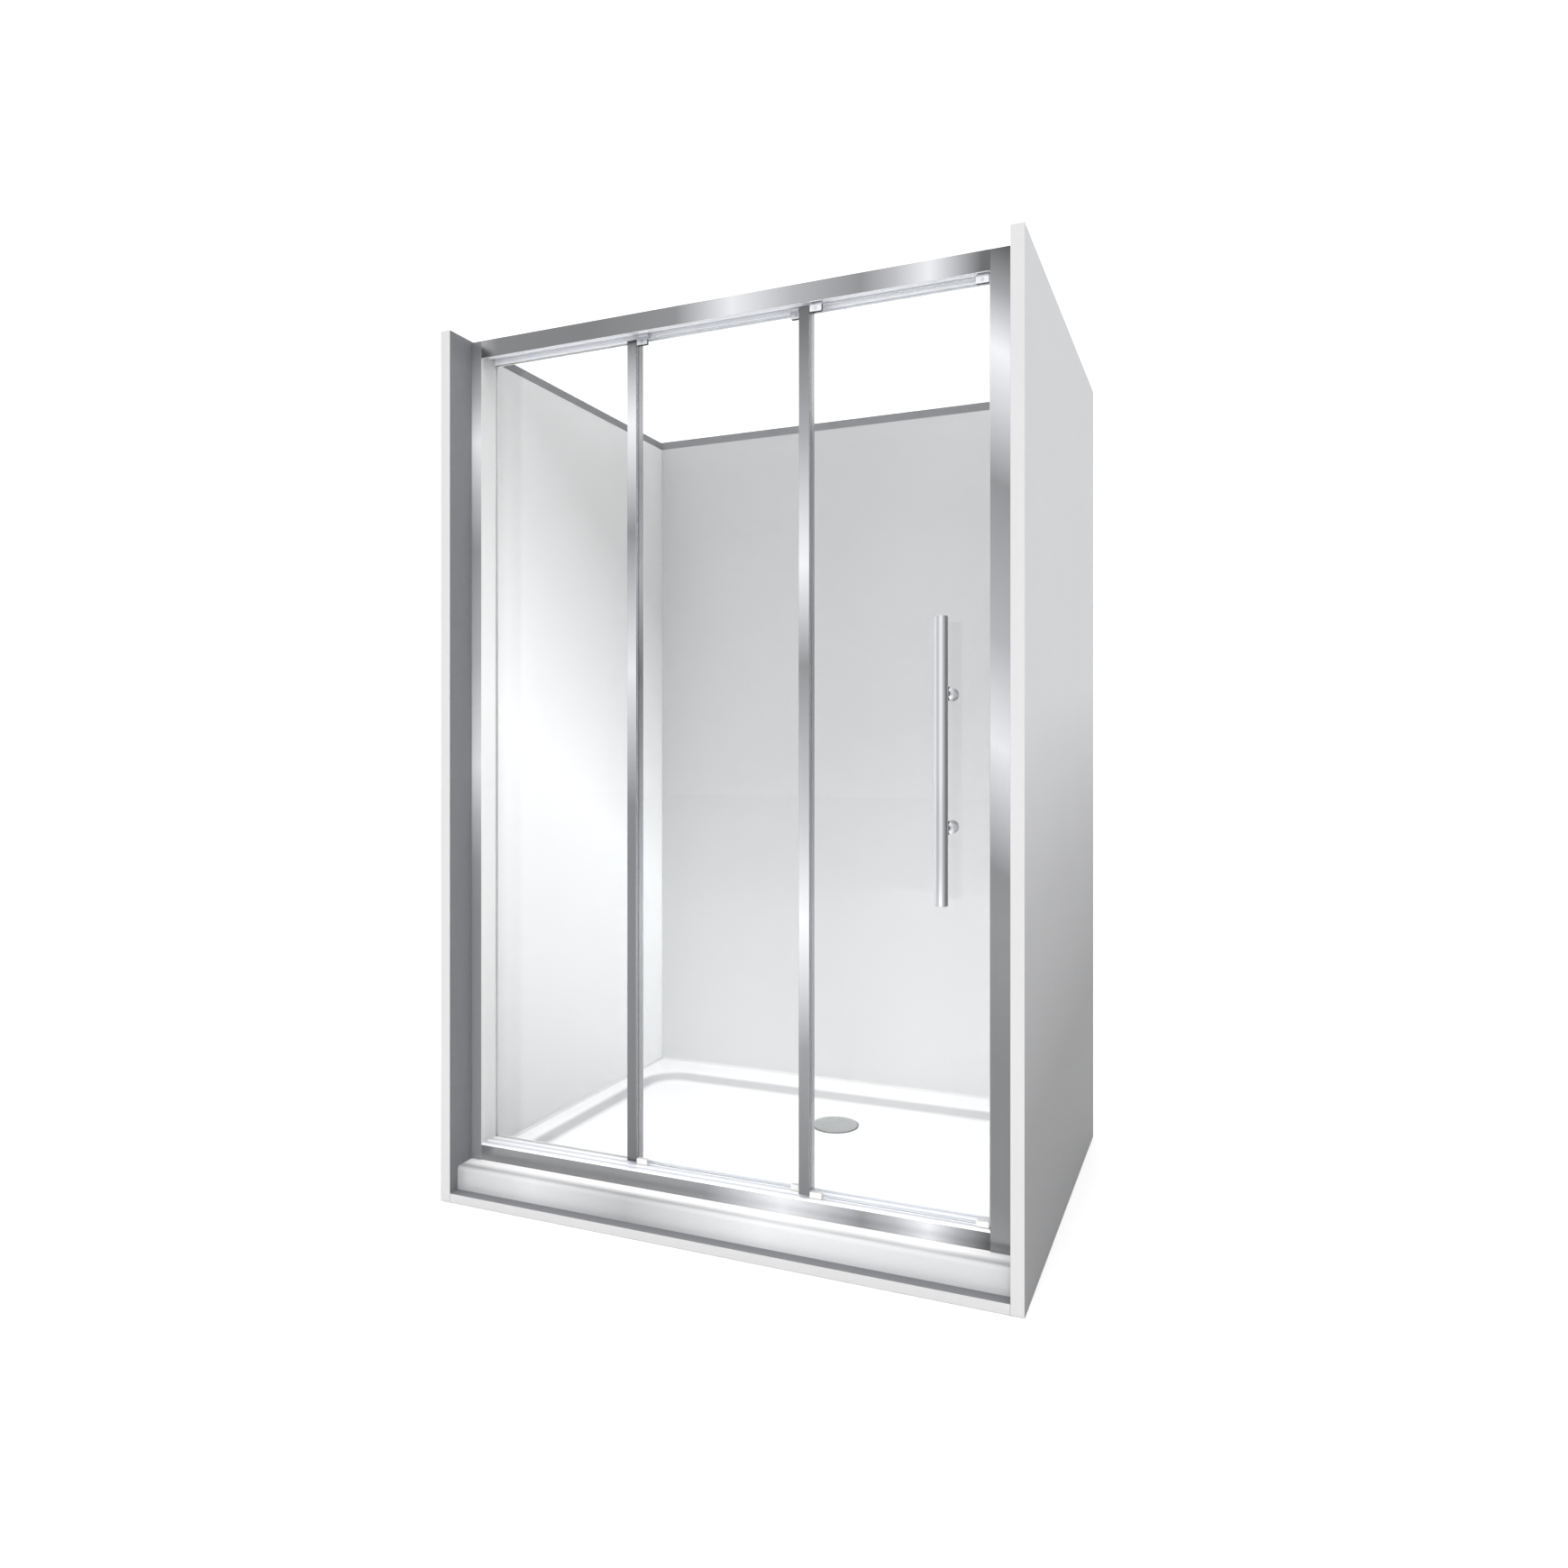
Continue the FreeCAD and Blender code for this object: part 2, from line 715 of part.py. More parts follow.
def make_waste_body():
    """Flanged bowl that hangs in the tray's hole, with a tail for the drain."""
    bore = "tail_radius - waste_wall"
    inside = "waste_neck_radius - waste_wall"
    floor = "bowl_bottom + waste_wall"
    points = [
        (bore, "bowl_bottom - tail_length"),
        ("tail_radius", "bowl_bottom - tail_length"),
        ("tail_radius", "bowl_bottom"),
        ("waste_neck_radius", "bowl_bottom"),
        ("waste_neck_radius", "flange_bottom"),
        ("waste_flange_radius", "flange_bottom"),
        ("waste_flange_radius", "flange_top"),
        (inside, "flange_top"),
        (inside, floor),
        (bore, floor),
    ]
    body, _ = turned("waste_body", "XZ_Plane", "V_Axis", points)
    place(body, "waste_aside", "tray_front + waste_y")
    return node(body, "waste_body")


def make_ring(name, inner, outer, bottom, top):
    """Flat ring round the waste's neck."""
    body, _ = turned(name, "XZ_Plane", "V_Axis", rectangle(inner, bottom, outer, top))
    place(body, "waste_aside", "tray_front + waste_y")
    return body


def make_waste_rings():
    """Sealing washers above and below the tray, and the notched locknut."""
    inner = "waste_neck_radius + thread_fit"
    above = "flange_bottom - waste_gasket", "flange_bottom"
    node(make_ring("waste_gasket_ring", inner, "waste_flange_radius", *above), "waste_gasket")
    below = "locknut_top", "locknut_top + under_gasket"
    node(make_ring("under_gasket_ring", inner, "locknut_radius", *below), "under_gasket")
    thread = "locknut_top - locknut_height", "locknut_top"
    nut = make_ring("locknut_ring", inner, "locknut_radius", *thread)
    notch = sketch_on(nut, "XY_Plane", "locknut_notch", "locknut_top")
    reach = "locknut_radius - waste_wall"
    draw_outline(notch, rectangle(reach, "-waste_wall", "locknut_radius + waste_wall", "waste_wall"))
    cut = pocket(nut, "locknut_cut", notch, "locknut_height")
    ring_of(nut, "locknut_notches", [cut], NOTCH_COUNT)
    node(nut, "waste_locknut")


def make_waste_cover():
    """Shallow dome over the waste, with a slotted skirt that centres it in the neck."""
    top = "cover_bottom + cover_rise"
    skirt_foot = "flange_top - skirt_drop"
    skirt_inside = "skirt_radius - skirt_wall"
    points = [
        ("0", top),
        ("0", f"{top} - cover_shell"),
        (skirt_inside, "cover_bottom + cover_edge"),
        (skirt_inside, skirt_foot),
        ("skirt_radius", skirt_foot),
        ("skirt_radius", "cover_bottom + cover_edge / 2"),
        ("cover_radius", "cover_bottom"),
        ("cover_radius", "cover_bottom + cover_edge"),
    ]
    body, _ = turned("waste_cover", "XZ_Plane", "V_Axis", points, {7: "dome_radius"})
    slot = sketch_on(body, "XZ_Plane", "skirt_slot_outline")
    slot_top = "cover_bottom - cover_seat"
    draw_outline(slot, rectangle("-skirt_slot / 2", skirt_foot, "skirt_slot / 2", slot_top))
    cut = pocket(body, "skirt_slot_cut", slot, "skirt_radius + skirt_wall")
    ring_of(body, "skirt_slots", [cut], SKIRT_SLOT_COUNT)
    rest = sketch_on(body, "XY_Plane", "cover_rest_outline", "flange_top + cover_seat")
    outer = "waste_neck_radius + waste_wall"
    draw_outline(rest, rectangle("waste_neck_radius", "-waste_wall / 2", outer, "waste_wall / 2"))
    leg = pad(body, "cover_rest", rest, "cover_gap + cover_edge / 2")
    ring_of(body, "cover_rests", [leg], COVER_REST_COUNT)
    place(body, "waste_aside", "tray_front + waste_y")
    return node(body, "waste_cover")


# --------------------------------------------------------------------------------------------------
# Frame profiles
# --------------------------------------------------------------------------------------------------


def drill_profile(body, name, y):
    """Row of screw holes through the profile's wall side."""
    hole = sketch_on(body, "YZ_Plane", name + "_hole", "0")
    draw_circle(hole, y, "fixing_inset", "wall_screw_radius + screw_clearance")
    cut = pocket(body, name + "_drilled", hole, "2 * profile_wall")
    cut.Midplane = True
    repeat(body, name + "_holes", [cut], "Z_Axis", FIXING_SPAN, FIXING_COUNT)


def make_left_jamb():
    """Wall profile of the fixed glass: a hollow front and a glazing pocket behind it."""
    near = "third_track - glazing_slot / 2"
    far = "third_track + glazing_slot / 2"
    outer = [
        ("0", "0"),
        ("left_jamb_width", "0"),
        ("left_jamb_width", near),
        ("profile_wall", near),
        ("profile_wall", far),
        ("left_jamb_width", far),
        ("left_jamb_width", "frame_depth"),
        ("0", "frame_depth"),
    ]
    wall = "profile_wall"
    void = rectangle(wall, wall, f"left_jamb_width - {wall}", f"{near} - {wall}")
    body, _ = extrusion("jamb_left", "XY_Plane", [outer, void], "jamb_height")
    drill_profile(body, "jamb_left", "third_track")
    place(body, "-inner_half", "frame_front", "tray_top")
    return node(body, "jamb_left")


def make_right_jamb():
    """Wall channel screwed to the wall, and the wider closing jamb that slides over it."""
    near = "profile_wall + channel_fit"
    far = "frame_depth - profile_wall - channel_fit"
    wall = "profile_wall"
    channel = [
        ("0", near),
        ("0", far),
        ("-channel_reach", far),
        ("-channel_reach", f"{far} - {wall}"),
        ("-profile_wall", f"{far} - {wall}"),
        ("-profile_wall", f"{near} + {wall}"),
        ("-channel_reach", f"{near} + {wall}"),
        ("-channel_reach", near),
    ]
    body, _ = extrusion("wall_channel_right", "XY_Plane", [channel], "jamb_height")
    drill_profile(body, "wall_channel_right", "frame_depth / 2")
    place(body, "inner_half", "frame_front", "tray_top")
    node(body, "wall_channel_right")

    floor = "-right_jamb_width + strike_depth"
    web = f"{floor} + {wall}"
    low = "first_track - strike_slot / 2"
    high = "first_track + strike_slot / 2"
    outer = [
        ("-right_jamb_width", "0"),
        ("-leg_gap", "0"),
        ("-leg_gap", wall),
        (web, wall),
        (web, f"frame_depth - {wall}"),
        ("-leg_gap", f"frame_depth - {wall}"),
        ("-leg_gap", "frame_depth"),
        ("-right_jamb_width", "frame_depth"),
        ("-right_jamb_width", high),
        (floor, high),
        (floor, low),
        ("-right_jamb_width", low),
    ]
    void = rectangle(f"-right_jamb_width + {wall}", f"{high} + {wall}", floor, f"frame_depth - {wall}")
    body, _ = extrusion("strike_jamb", "XY_Plane", [outer, void], "jamb_height")
    place(body, "inner_half", "frame_front", "tray_top")
    node(body, "strike_jamb")


def make_header():
    """Track rail: fascia, two running shelves with rails for the rollers and the glazing channel."""
    wall = "profile_wall"
    ceiling = "header_height - fascia_wall"
    second_web = "second_track - web_to_plane"
    first_end = "first_track - shelf_to_plane"
    second_end = "second_track - shelf_to_plane"
    near = "third_track - glazing_slot / 2"
    points = [
        ("0", "0"),
        ("0", "header_height"),
        ("frame_depth", "header_height"),
        ("frame_depth", "0"),
        (f"frame_depth - {wall}", "0"),
        (f"frame_depth - {wall}", ceiling),
        (near, ceiling),
        (near, "0"),
        (f"{near} - {wall}", "0"),
        (f"{near} - {wall}", ceiling),
        (second_web, ceiling),
        (second_web, "shelf_top"),
        (second_end, "shelf_top"),
        (second_end, "shelf_height"),
        (f"{second_web} - {wall}", "shelf_height"),
        (f"{second_web} - {wall}", ceiling),
        ("fascia_wall", ceiling),
        ("fascia_wall", "shelf_top"),
        (first_end, "shelf_top"),
        (first_end, "shelf_height"),
        ("fascia_wall", "shelf_height"),
        ("fascia_wall", wall),
        ("lip_reach", wall),
        ("lip_reach", "0"),
    ]
    body, _ = extrusion("header_track", "YZ_Plane", [points], "opening_width")
    rails = sketch_on(body, "YZ_Plane", "running_rails")
    for track in ("first_track", "second_track"):
        draw_circle(rails, f"{track} - bead_to_plane", "shelf_top", "bead_radius")
    pad(body, "header_rails", rails, "opening_width")
    place(body, "opening_left", "frame_front", "header_bottom")
    return node(body, "header_track")


WEEP_SLOT_COUNT = 4


def make_sill():
    """Threshold rail: two guide slots, a glazing slot, a hollow below them and weep slots behind."""
    wall = "profile_wall"
    slots = [
        (f"{track} - {width} / 2", f"{track} + {width} / 2", f"sill_height - {width}_depth")
        for track, width in (
            ("first_track", "guide_slot"),
            ("second_track", "guide_slot"),
            ("third_track", "glazing_slot"),
        )
    ]
    outer = [("0", "0"), ("0", "sill_height - sill_chamfer"), ("sill_chamfer", "sill_height")]
    under = f"sill_height - {wall}"
    void = [
        (wall, wall),
        (wall, "sill_height - sill_chamfer - profile_wall / 2"),
        ("sill_chamfer + profile_wall / 2", under),
    ]
    for near, far, floor in slots:
        outer += [(near, "sill_height"), (near, floor), (far, floor), (far, "sill_height")]
        void += [(f"{near} - {wall}", under), (f"{near} - {wall}", f"{floor} - {wall}")]
        if floor != slots[-1][2]:
            void += [(f"{far} + {wall}", f"{floor} - {wall}"), (f"{far} + {wall}", under)]
    outer += [("frame_depth", "sill_height"), ("frame_depth", "0")]
    void += [(f"frame_depth - {wall}", f"{slots[-1][2]} - {wall}"), (f"frame_depth - {wall}", wall)]
    body, _ = extrusion("sill_track", "YZ_Plane", [outer, void], "opening_width")
    weep = sketch_on(body, "XZ_Plane", "weep_outline", "-frame_depth - profile_wall")
    foot, top = "2 * profile_wall", "2 * profile_wall + weep_height"
    draw_outline(weep, rectangle("weep_inset", foot, "weep_inset + weep_length", top))
    cut = pocket(body, "weep_slot", weep, "3 * profile_wall", reverse=True)
    row = f"{WEEP_SLOT_COUNT - 1} * weep_spacing"
    repeat(body, "weep_slots", [cut], "X_Axis", row, WEEP_SLOT_COUNT)
    place(body, "opening_left", "frame_front", "sill_bottom")
    node(body, "sill_track")
    corner = "opening_left", "frame_front", "tray_top"
    node(box("sill_bedding", "opening_width", "frame_depth", "sill_bedding", *corner), "sill_seal")


def make_wall_screws():
    """Rows of low-headed screws that hold the two wall profiles."""
    rows = []
    for side, y in ((-1, "third_track"), (1, "frame_depth / 2")):
        name = "screws_left" if side < 0 else "screws_right"
        head = "profile_wall + wall_screw_cap"
        points = [
            ("-wall_screw_length", "0"),
            (head, "0"),
            (head, "wall_screw_radius"),
            ("profile_wall", "wall_screw_head"),
            ("profile_wall", "wall_screw_radius"),
            ("-wall_screw_length", "wall_screw_radius"),
        ]
        body, screw = turned(name, "XZ_Plane", "H_Axis", points)
        repeat(body, name + "_row", [screw], "Z_Axis", FIXING_SPAN, FIXING_COUNT)
        wall_x = "-inner_half" if side < 0 else "inner_half"
        place(body, wall_x, f"frame_front + {y}", "tray_top + fixing_inset", turned=side > 0)
        rows.append(body)
    group("wall_screws", rows)


def make_track_stops():
    """End stops on the running shelves, one for each sliding panel."""
    stops = []
    runs = (
        ("door", "door_plane", "door_first_hanger - middle_travel - door_travel"),
        ("middle", "middle_plane", "middle_first_hanger - middle_travel"),
    )
    for name, plane, axle in runs:
        x = f"{axle} - wheel_outer - stop_gap - stop_length"
        width = "web_to_plane - shelf_to_plane"
        z = "header_bottom + shelf_top"
        block = box(name + "_stop", "stop_length", width, "stop_height", x, f"{plane} - web_to_plane", z)
        groove = doc.addObject("Part::Cylinder", name + "_stop_groove")
        bind(groove, "Radius", "bead_radius + screw_clearance")
        bind(groove, "Height", "stop_length")
        groove.Placement = FreeCAD.Placement(Vector(), FreeCAD.Rotation(Vector(0, 1, 0), 90))
        for axis, text in zip("xyz", (x, f"{plane} - bead_to_plane", z)):
            bind(groove, f"Placement.Base.{axis}", text)
        stop = doc.addObject("Part::Cut", name + "_stop_cut")
        stop.Base = block
        stop.Tool = groove
        stops.append(stop)
    group("track_stops", stops)


# --------------------------------------------------------------------------------------------------
# Panels: glass, stiles, glazing
# --------------------------------------------------------------------------------------------------


def make_fixed_glass():
    """Fixed glass with its gaskets and the blocks that it stands on."""
    x = "opening_left - glazing_cover"
    z = "sill_top - glazing_cover"
    length = f"fixed_right - stile_pocket - ({x})"
    height = f"header_bottom + glazing_cover - ({z})"
    glass = box("fixed_glass", length, "glass_thickness", height, x, "fixed_plane - glass_half", z)
    node(glass, "fixed_glass")

    strips = []
    along = "fixed_right - opening_left"
    upright = "header_bottom - sill_top"
    runs = (
        ("top", along, "gasket_depth", "opening_left", "header_bottom"),
        ("bottom", along, "gasket_depth", "opening_left", "sill_top - gasket_depth"),
        ("left", "gasket_depth", upright, "opening_left - gasket_depth", "sill_top"),
    )
    faces = {"front": "fixed_plane - glazing_slot / 2", "rear": "fixed_plane + glass_half"}
    for name, run_length, run_height, run_x, run_z in runs:
        for face, y in faces.items():
            strip = f"gasket_{name}_{face}"
            strips.append(box(strip, run_length, "gasket_thickness", run_height, run_x, y, run_z))
    group("glazing_gaskets", strips)

    blocks = []
    bottom = "sill_top - glazing_slot_depth"
    for name, block_x in (
        ("left", "opening_left + setting_block"),
        ("right", "fixed_right - stile_width - 2 * setting_block"),
    ):
        height = "glazing_slot_depth - glazing_cover"
        y = "fixed_plane - glazing_slot / 2"
        blocks.append(box(f"block_{name}", "setting_block", "glazing_slot", height, block_x, y, bottom))
    group("setting_blocks", blocks)


def make_stile(name, edge_x, plane, bottom, height, right_edge):
    """Interlock profile on a glass edge. The same section, turned half round, hooks into the next."""
    outer = [
        ("0", "-stile_half"),
        ("stile_width", "-stile_half"),
        ("stile_width", "-glass_half"),
        ("stile_pocket", "-glass_half"),
        ("stile_pocket", "glass_half"),
        ("stile_width", "glass_half"),
        ("stile_width", "stile_half"),
        ("stile_wall", "stile_half"),
        ("stile_wall", "hook_inner"),
        ("hook_tip", "hook_inner"),
        ("hook_tip", "hook_outer"),
        ("0", "hook_outer"),
    ]
    near, far = "-stile_half + stile_wall", "stile_half - stile_wall"
    void = rectangle("stile_wall", near, "stile_pocket - stile_wall", far)
    body, section = extrusion(name, "XY_Plane", [outer, void], height)
    corners = upright_at([("0", "-stile_half"), ("stile_width", "-stile_half")])
    round_edges(body, name + "_rounding", section, "edge_round", corners)
    place(body, edge_x, plane, bottom, turned=right_edge)
    return node(body, name)


def make_sliding_glass(name, left, right, plane, holes):
    """Sliding glass with its drilled holes."""
    body = new_body(name)
    outline = sketch_on(body, "XZ_Plane", name + "_outline")
    draw_outline(outline, rectangle(left, "glass_bottom", right, "glass_top"))
    for x, z, radius in holes:
        draw_circle(outline, x, z, radius)
    pad(body, name + "_pad", outline, "glass_thickness", midplane=True)
    place(body, "0", plane)
    return node(body, name)


# --------------------------------------------------------------------------------------------------
# Hangers, rollers and guides
# --------------------------------------------------------------------------------------------------


def make_hangers(name, first, last, plane):
    """Pair of cast hangers: a shoe over the glass edge and a tapered tongue with a round axle boss."""
    body = new_body(name)
    shoe_outline = sketch_on(body, "YZ_Plane", name + "_shoe_section")
    shoe_points = [
        ("-stile_half", "-shoe_cheek"),
        ("-stile_half", "shoe_web"),
        ("stile_half", "shoe_web"),
        ("stile_half", "-shoe_cheek"),
        ("glass_half", "-shoe_cheek"),
        ("glass_half", "0"),
        ("-glass_half", "0"),
        ("-glass_half", "-shoe_cheek"),
    ]
    draw_outline(shoe_outline, shoe_points)
    shoe = pad(body, name + "_shoe", shoe_outline, "shoe_length", midplane=True)

    tongue_outline = sketch_on(body, "XZ_Plane", name + "_tongue_outline", "-tongue_front")
    tongue_points = [
        ("-shoe_length / 2", "shoe_web"),
        ("shoe_length / 2", "shoe_web"),
        ("tongue_boss", "axle_above_glass"),
        ("-tongue_boss", "axle_above_glass"),
    ]
    draw_outline(tongue_outline, tongue_points)
    tongue = pad(body, name + "_tongue", tongue_outline, "tongue_thickness", reverse=True)
    boss_outline = sketch_on(body, "XZ_Plane", name + "_boss_outline", "-tongue_front")
    draw_circle(boss_outline, "0", "axle_above_glass", "tongue_boss")
    boss = pad(body, name + "_boss", boss_outline, "tongue_thickness", reverse=True)

    holes = sketch_on(body, "XZ_Plane", name + "_holes")
    draw_circle(holes, "0", "axle_above_glass", "axle_radius + axle_fit")
    draw_circle(holes, "0", "-clamp_drop", "clamp_screw_radius + screw_clearance")
    drilled = pocket(body, name + "_drilled", holes)
    sink_outline = sketch_on(body, "XZ_Plane", name + "_sink_outline", "stile_half")
    draw_circle(sink_outline, "0", "-clamp_drop", "clamp_head_radius + screw_clearance")
    sink = pocket(body, name + "_sink", sink_outline, "clamp_head")
    features = [shoe, tongue, boss, drilled, sink]
    repeat(body, name + "_pair", features, "X_Axis", f"{last} - ({first})", 2)
    place(body, first, plane, "glass_top")
    return node(body, name)


def make_axles(name, first, last, plane):
    """Pair of riveted axles, each with a shoulder that spaces its roller from the hanger."""
    wheel_front = "-bead_to_plane - wheel_width / 2"
    front = f"{wheel_front} - wheel_gap - axle_head"
    shoulder = "-bead_to_plane + wheel_width / 2 + wheel_gap"
    rear = "tongue_front + tongue_thickness"
    points = [
        (front, "0"),
        (front, "axle_head_radius"),
        (f"{front} + axle_head", "axle_head_radius"),
        (f"{front} + axle_head", "axle_radius"),
        (shoulder, "axle_radius"),
        (shoulder, "shoulder_radius"),
        ("tongue_front", "shoulder_radius"),
        ("tongue_front", "axle_radius"),
        (rear, "axle_radius"),
        (rear, "axle_head_radius"),
        (f"{rear} + axle_head", "axle_head_radius"),
        (f"{rear} + axle_head", "0"),
    ]
    body, axle = turned(name, "YZ_Plane", "H_Axis", points)
    repeat(body, name + "_pair", [axle], "X_Axis", f"{last} - ({first})", 2)
    place(body, first, plane, "glass_top + axle_above_glass")
    return node(body, name)


def make_roller(name, x, plane):
    """Grooved roller that rides on the rail."""
    half = "wheel_width / 2"
    bore = "axle_radius + axle_fit"
    shoulder = "bead_radius + wheel_gap + groove_slope"
    points = [
        (f"-{half}", bore),
        (f"-{half}", "wheel_outer"),
        (f"-({shoulder})", "wheel_outer"),
        ("-bead_radius / 2", "wheel_radius"),
        ("bead_radius / 2", "wheel_radius"),
        (shoulder, "wheel_outer"),
        (half, "wheel_outer"),
        (half, bore),
    ]
    body, _ = turned(name, "YZ_Plane", "H_Axis", points)
    place(body, x, f"{plane} - bead_to_plane", "glass_top + axle_above_glass")
    return node(body, name)


def make_clamp_screws(name, first, last, plane):
    """Flush screws that clamp the hangers through the glass."""
    points = [
        ("-stile_half", "0"),
        ("-stile_half", "clamp_head_radius"),
        ("-stile_half + clamp_head", "clamp_head_radius"),
        ("-stile_half + clamp_head", "clamp_screw_radius"),
        ("stile_half", "clamp_screw_radius"),
        ("stile_half", "0"),
    ]
    body, screw = turned(name, "YZ_Plane", "H_Axis", points)
    repeat(body, name + "_pair", [screw], "X_Axis", f"{last} - ({first})", 2)
    place(body, first, plane, "glass_top - clamp_drop")
    return node(body, name)


def make_guides(name, first, last, plane):
    """Pair of foot guides: a shoe under the glass edge and a blade that runs in the sill's slot."""
    blade = "guide_slot / 2 - guide_play"
    foot = "-shoe_web - guide_blade"
    points = [
        ("-stile_half", "guide_cheek"),
        ("-glass_half", "guide_cheek"),
        ("-glass_half", "0"),
        ("glass_half", "0"),
        ("glass_half", "guide_cheek"),
        ("stile_half", "guide_cheek"),
        ("stile_half", "-shoe_web"),
        (blade, "-shoe_web"),
        (blade, foot),
        (f"-({blade})", foot),
        (f"-({blade})", "-shoe_web"),
        ("-stile_half", "-shoe_web"),
    ]
    body, section = extrusion(name, "YZ_Plane", [points], "shoe_length", midplane=True)
    repeat(body, name + "_pair", [section], "X_Axis", f"{last} - ({first})", 2)
    place(body, first, plane, "glass_bottom")
    return node(body, name)


def make_running_gear(panel, first, last, plane):
    """Hangers, axles, rollers, clamp screws and guides of one sliding panel."""
    make_hangers(panel + "_hangers", first, last, plane)
    make_axles(panel + "_axles", first, last, plane)
    make_roller(panel + "_roller_left", first, plane)
    make_roller(panel + "_roller_right", last, plane)
    make_clamp_screws(panel + "_clamp_screws", first, last, plane)
    make_guides(panel + "_guides", first, last, plane)


# --------------------------------------------------------------------------------------------------
# Closing edge and handle
# --------------------------------------------------------------------------------------------------


def make_closing_edge():
    """Profile on the door's closing edge with its magnet, and the strip in the jamb that it meets."""
    reach = "closing_cover + closing_wall"
    points = [
        ("0", "-closing_half"),
        (reach, "-closing_half"),
        (reach, "closing_half"),
        ("0", "closing_half"),
        ("0", "glass_half"),
        ("closing_cover", "glass_half"),
        ("closing_cover", "-glass_half"),
        ("0", "-glass_half"),
    ]
    body, _ = extrusion("door_closing_profile", "XY_Plane", [points], "glass_height")
    place(body, "closing_left", "door_plane", "glass_bottom")
    node(body, "door_closing_profile")
    y = "door_plane - magnet_half"
    strike_x = "closing_right + magnet_thickness + magnet_gap"
    reach = f"opening_right + strike_depth - ({strike_x})"
    for name, length, x in (
        ("door_magnet", "magnet_thickness", "closing_right"),
        ("strike_magnet", reach, strike_x),
    ):
        node(box(name, length, "2 * magnet_half", "glass_height", x, y, "glass_bottom"), name)


def make_handle():
    """Round pull bar on two standoffs, with washers either side of the glass and knobs behind it."""
    bar = new_body("handle_bar")
    circle = sketch_on(bar, "XY_Plane", "handle_bar_circle")
    draw_circle(circle, "0", "0", "handle_radius")
    rod = pad(bar, "handle_bar_pad", circle, "handle_length")
    round_edges(bar, "handle_bar_ends", rod, "bar_round", lambda edge: "Circle" in edge.Curve.TypeId)
    place(bar, "handle_x", "handle_y", "handle_height - handle_length / 2")
    node(bar, "handle_bar")

    face = "standoff_length - washer_thickness"
    through = "standoff_length + glass_thickness + washer_thickness"
    points = [
        ("0", "0"),
        ("0", "neck_radius"),
        (f"{face} - rosette_height - flare_height", "neck_radius"),
        (f"{face} - rosette_height", "rosette_radius"),
        (face, "rosette_radius"),
        (face, "stud_radius"),
        (f"{through} + stud_grip", "stud_radius"),
        (f"{through} + stud_grip", "0"),
    ]
    body, arm = turned("handle_standoffs", "YZ_Plane", "H_Axis", points)
    saddle_outline = sketch_on(body, "XY_Plane", "saddle_outline")
    draw_circle(saddle_outline, "0", "0", "handle_radius + saddle_fit")
    saddle = pocket(body, "saddle", saddle_outline)
    repeat(body, "standoff_pair", [arm, saddle], "Z_Axis", "standoff_spacing", 2)
    place(body, "handle_x", "handle_y", "first_standoff")
    node(body, "handle_standoffs")

    rings = []
    bore = "stud_radius + stud_clearance"
    for name, y in (("front", "0"), ("rear", "glass_thickness + washer_thickness")):
        ring = rectangle(y, bore, f"{y} + washer_thickness", "rosette_radius")
        washer, disc = turned(f"washer_{name}", "YZ_Plane", "H_Axis", ring)
        repeat(washer, f"washer_{name}_pair", [disc], "Z_Axis", "standoff_spacing", 2)
        place(washer, "handle_x", "door_plane - glass_half - washer_thickness", "first_standoff")
        rings.append(washer)
    group("handle_washers", rings)

    socket = "stud_radius + stud_fit"
    bottom = "stud_grip + socket_relief"
    knob_points = [
        (bottom, "0"),
        ("knob_length", "0"),
        ("knob_length", "knob_radius - knob_round"),
        ("knob_length - knob_round", "knob_radius"),
        ("0", "knob_radius"),
        ("0", socket),
        (bottom, socket),
    ]
    knobs, knob = turned("handle_knobs", "YZ_Plane", "H_Axis", knob_points, {2: "knob_round"})
    repeat(knobs, "knob_pair", [knob], "Z_Axis", "standoff_spacing", 2)
    place(knobs, "handle_x", "door_plane + glass_half + washer_thickness", "first_standoff")
    node(knobs, "handle_knobs")


# --------------------------------------------------------------------------------------------------
# Assembly
# --------------------------------------------------------------------------------------------------

make_side_wall("wall_panel_left", -1, "frame_setback + third_track")
make_side_wall("wall_panel_right", 1, "frame_setback + frame_depth / 2")
make_back_wall()
make_base()
make_liners()
make_sealant()
make_tray()
make_waste_body()
make_waste_rings()
make_waste_cover()
make_left_jamb()
make_right_jamb()
make_header()
make_sill()
make_wall_screws()
make_track_stops()
make_fixed_glass()

between_rails = "sill_top", "header_bottom - sill_top"
beside_glass = "glass_bottom", "glass_height"
make_stile("fixed_stile", "fixed_right", "fixed_plane", *between_rails, right_edge=True)
make_stile("middle_rear_stile", "middle_left", "middle_plane", *beside_glass, right_edge=False)
make_stile("middle_lead_stile", "middle_right", "middle_plane", *beside_glass, right_edge=True)
make_stile("door_stile", "door_left", "door_plane", *beside_glass, right_edge=False)

clamp_hole = "clamp_screw_radius + screw_clearance"
clamp_z = "glass_top - clamp_drop"
stud_hole = "stud_radius + stud_clearance"
middle_edges = ("middle_left + stile_pocket", "middle_right - stile_pocket")
middle_holes = [(f"middle_{end}_hanger", clamp_z, clamp_hole) for end in ("first", "last")]
make_sliding_glass("middle_glass", *middle_edges, "middle_plane", middle_holes)
door_edges = ("door_left + stile_pocket", "door_glass_right")
door_holes = [(f"door_{end}_hanger", clamp_z, clamp_hole) for end in ("first", "last")]
standoff_levels = "first_standoff", "first_standoff + standoff_spacing"
door_holes += [("handle_x", level, stud_hole) for level in standoff_levels]
make_sliding_glass("door_glass", *door_edges, "door_plane", door_holes)

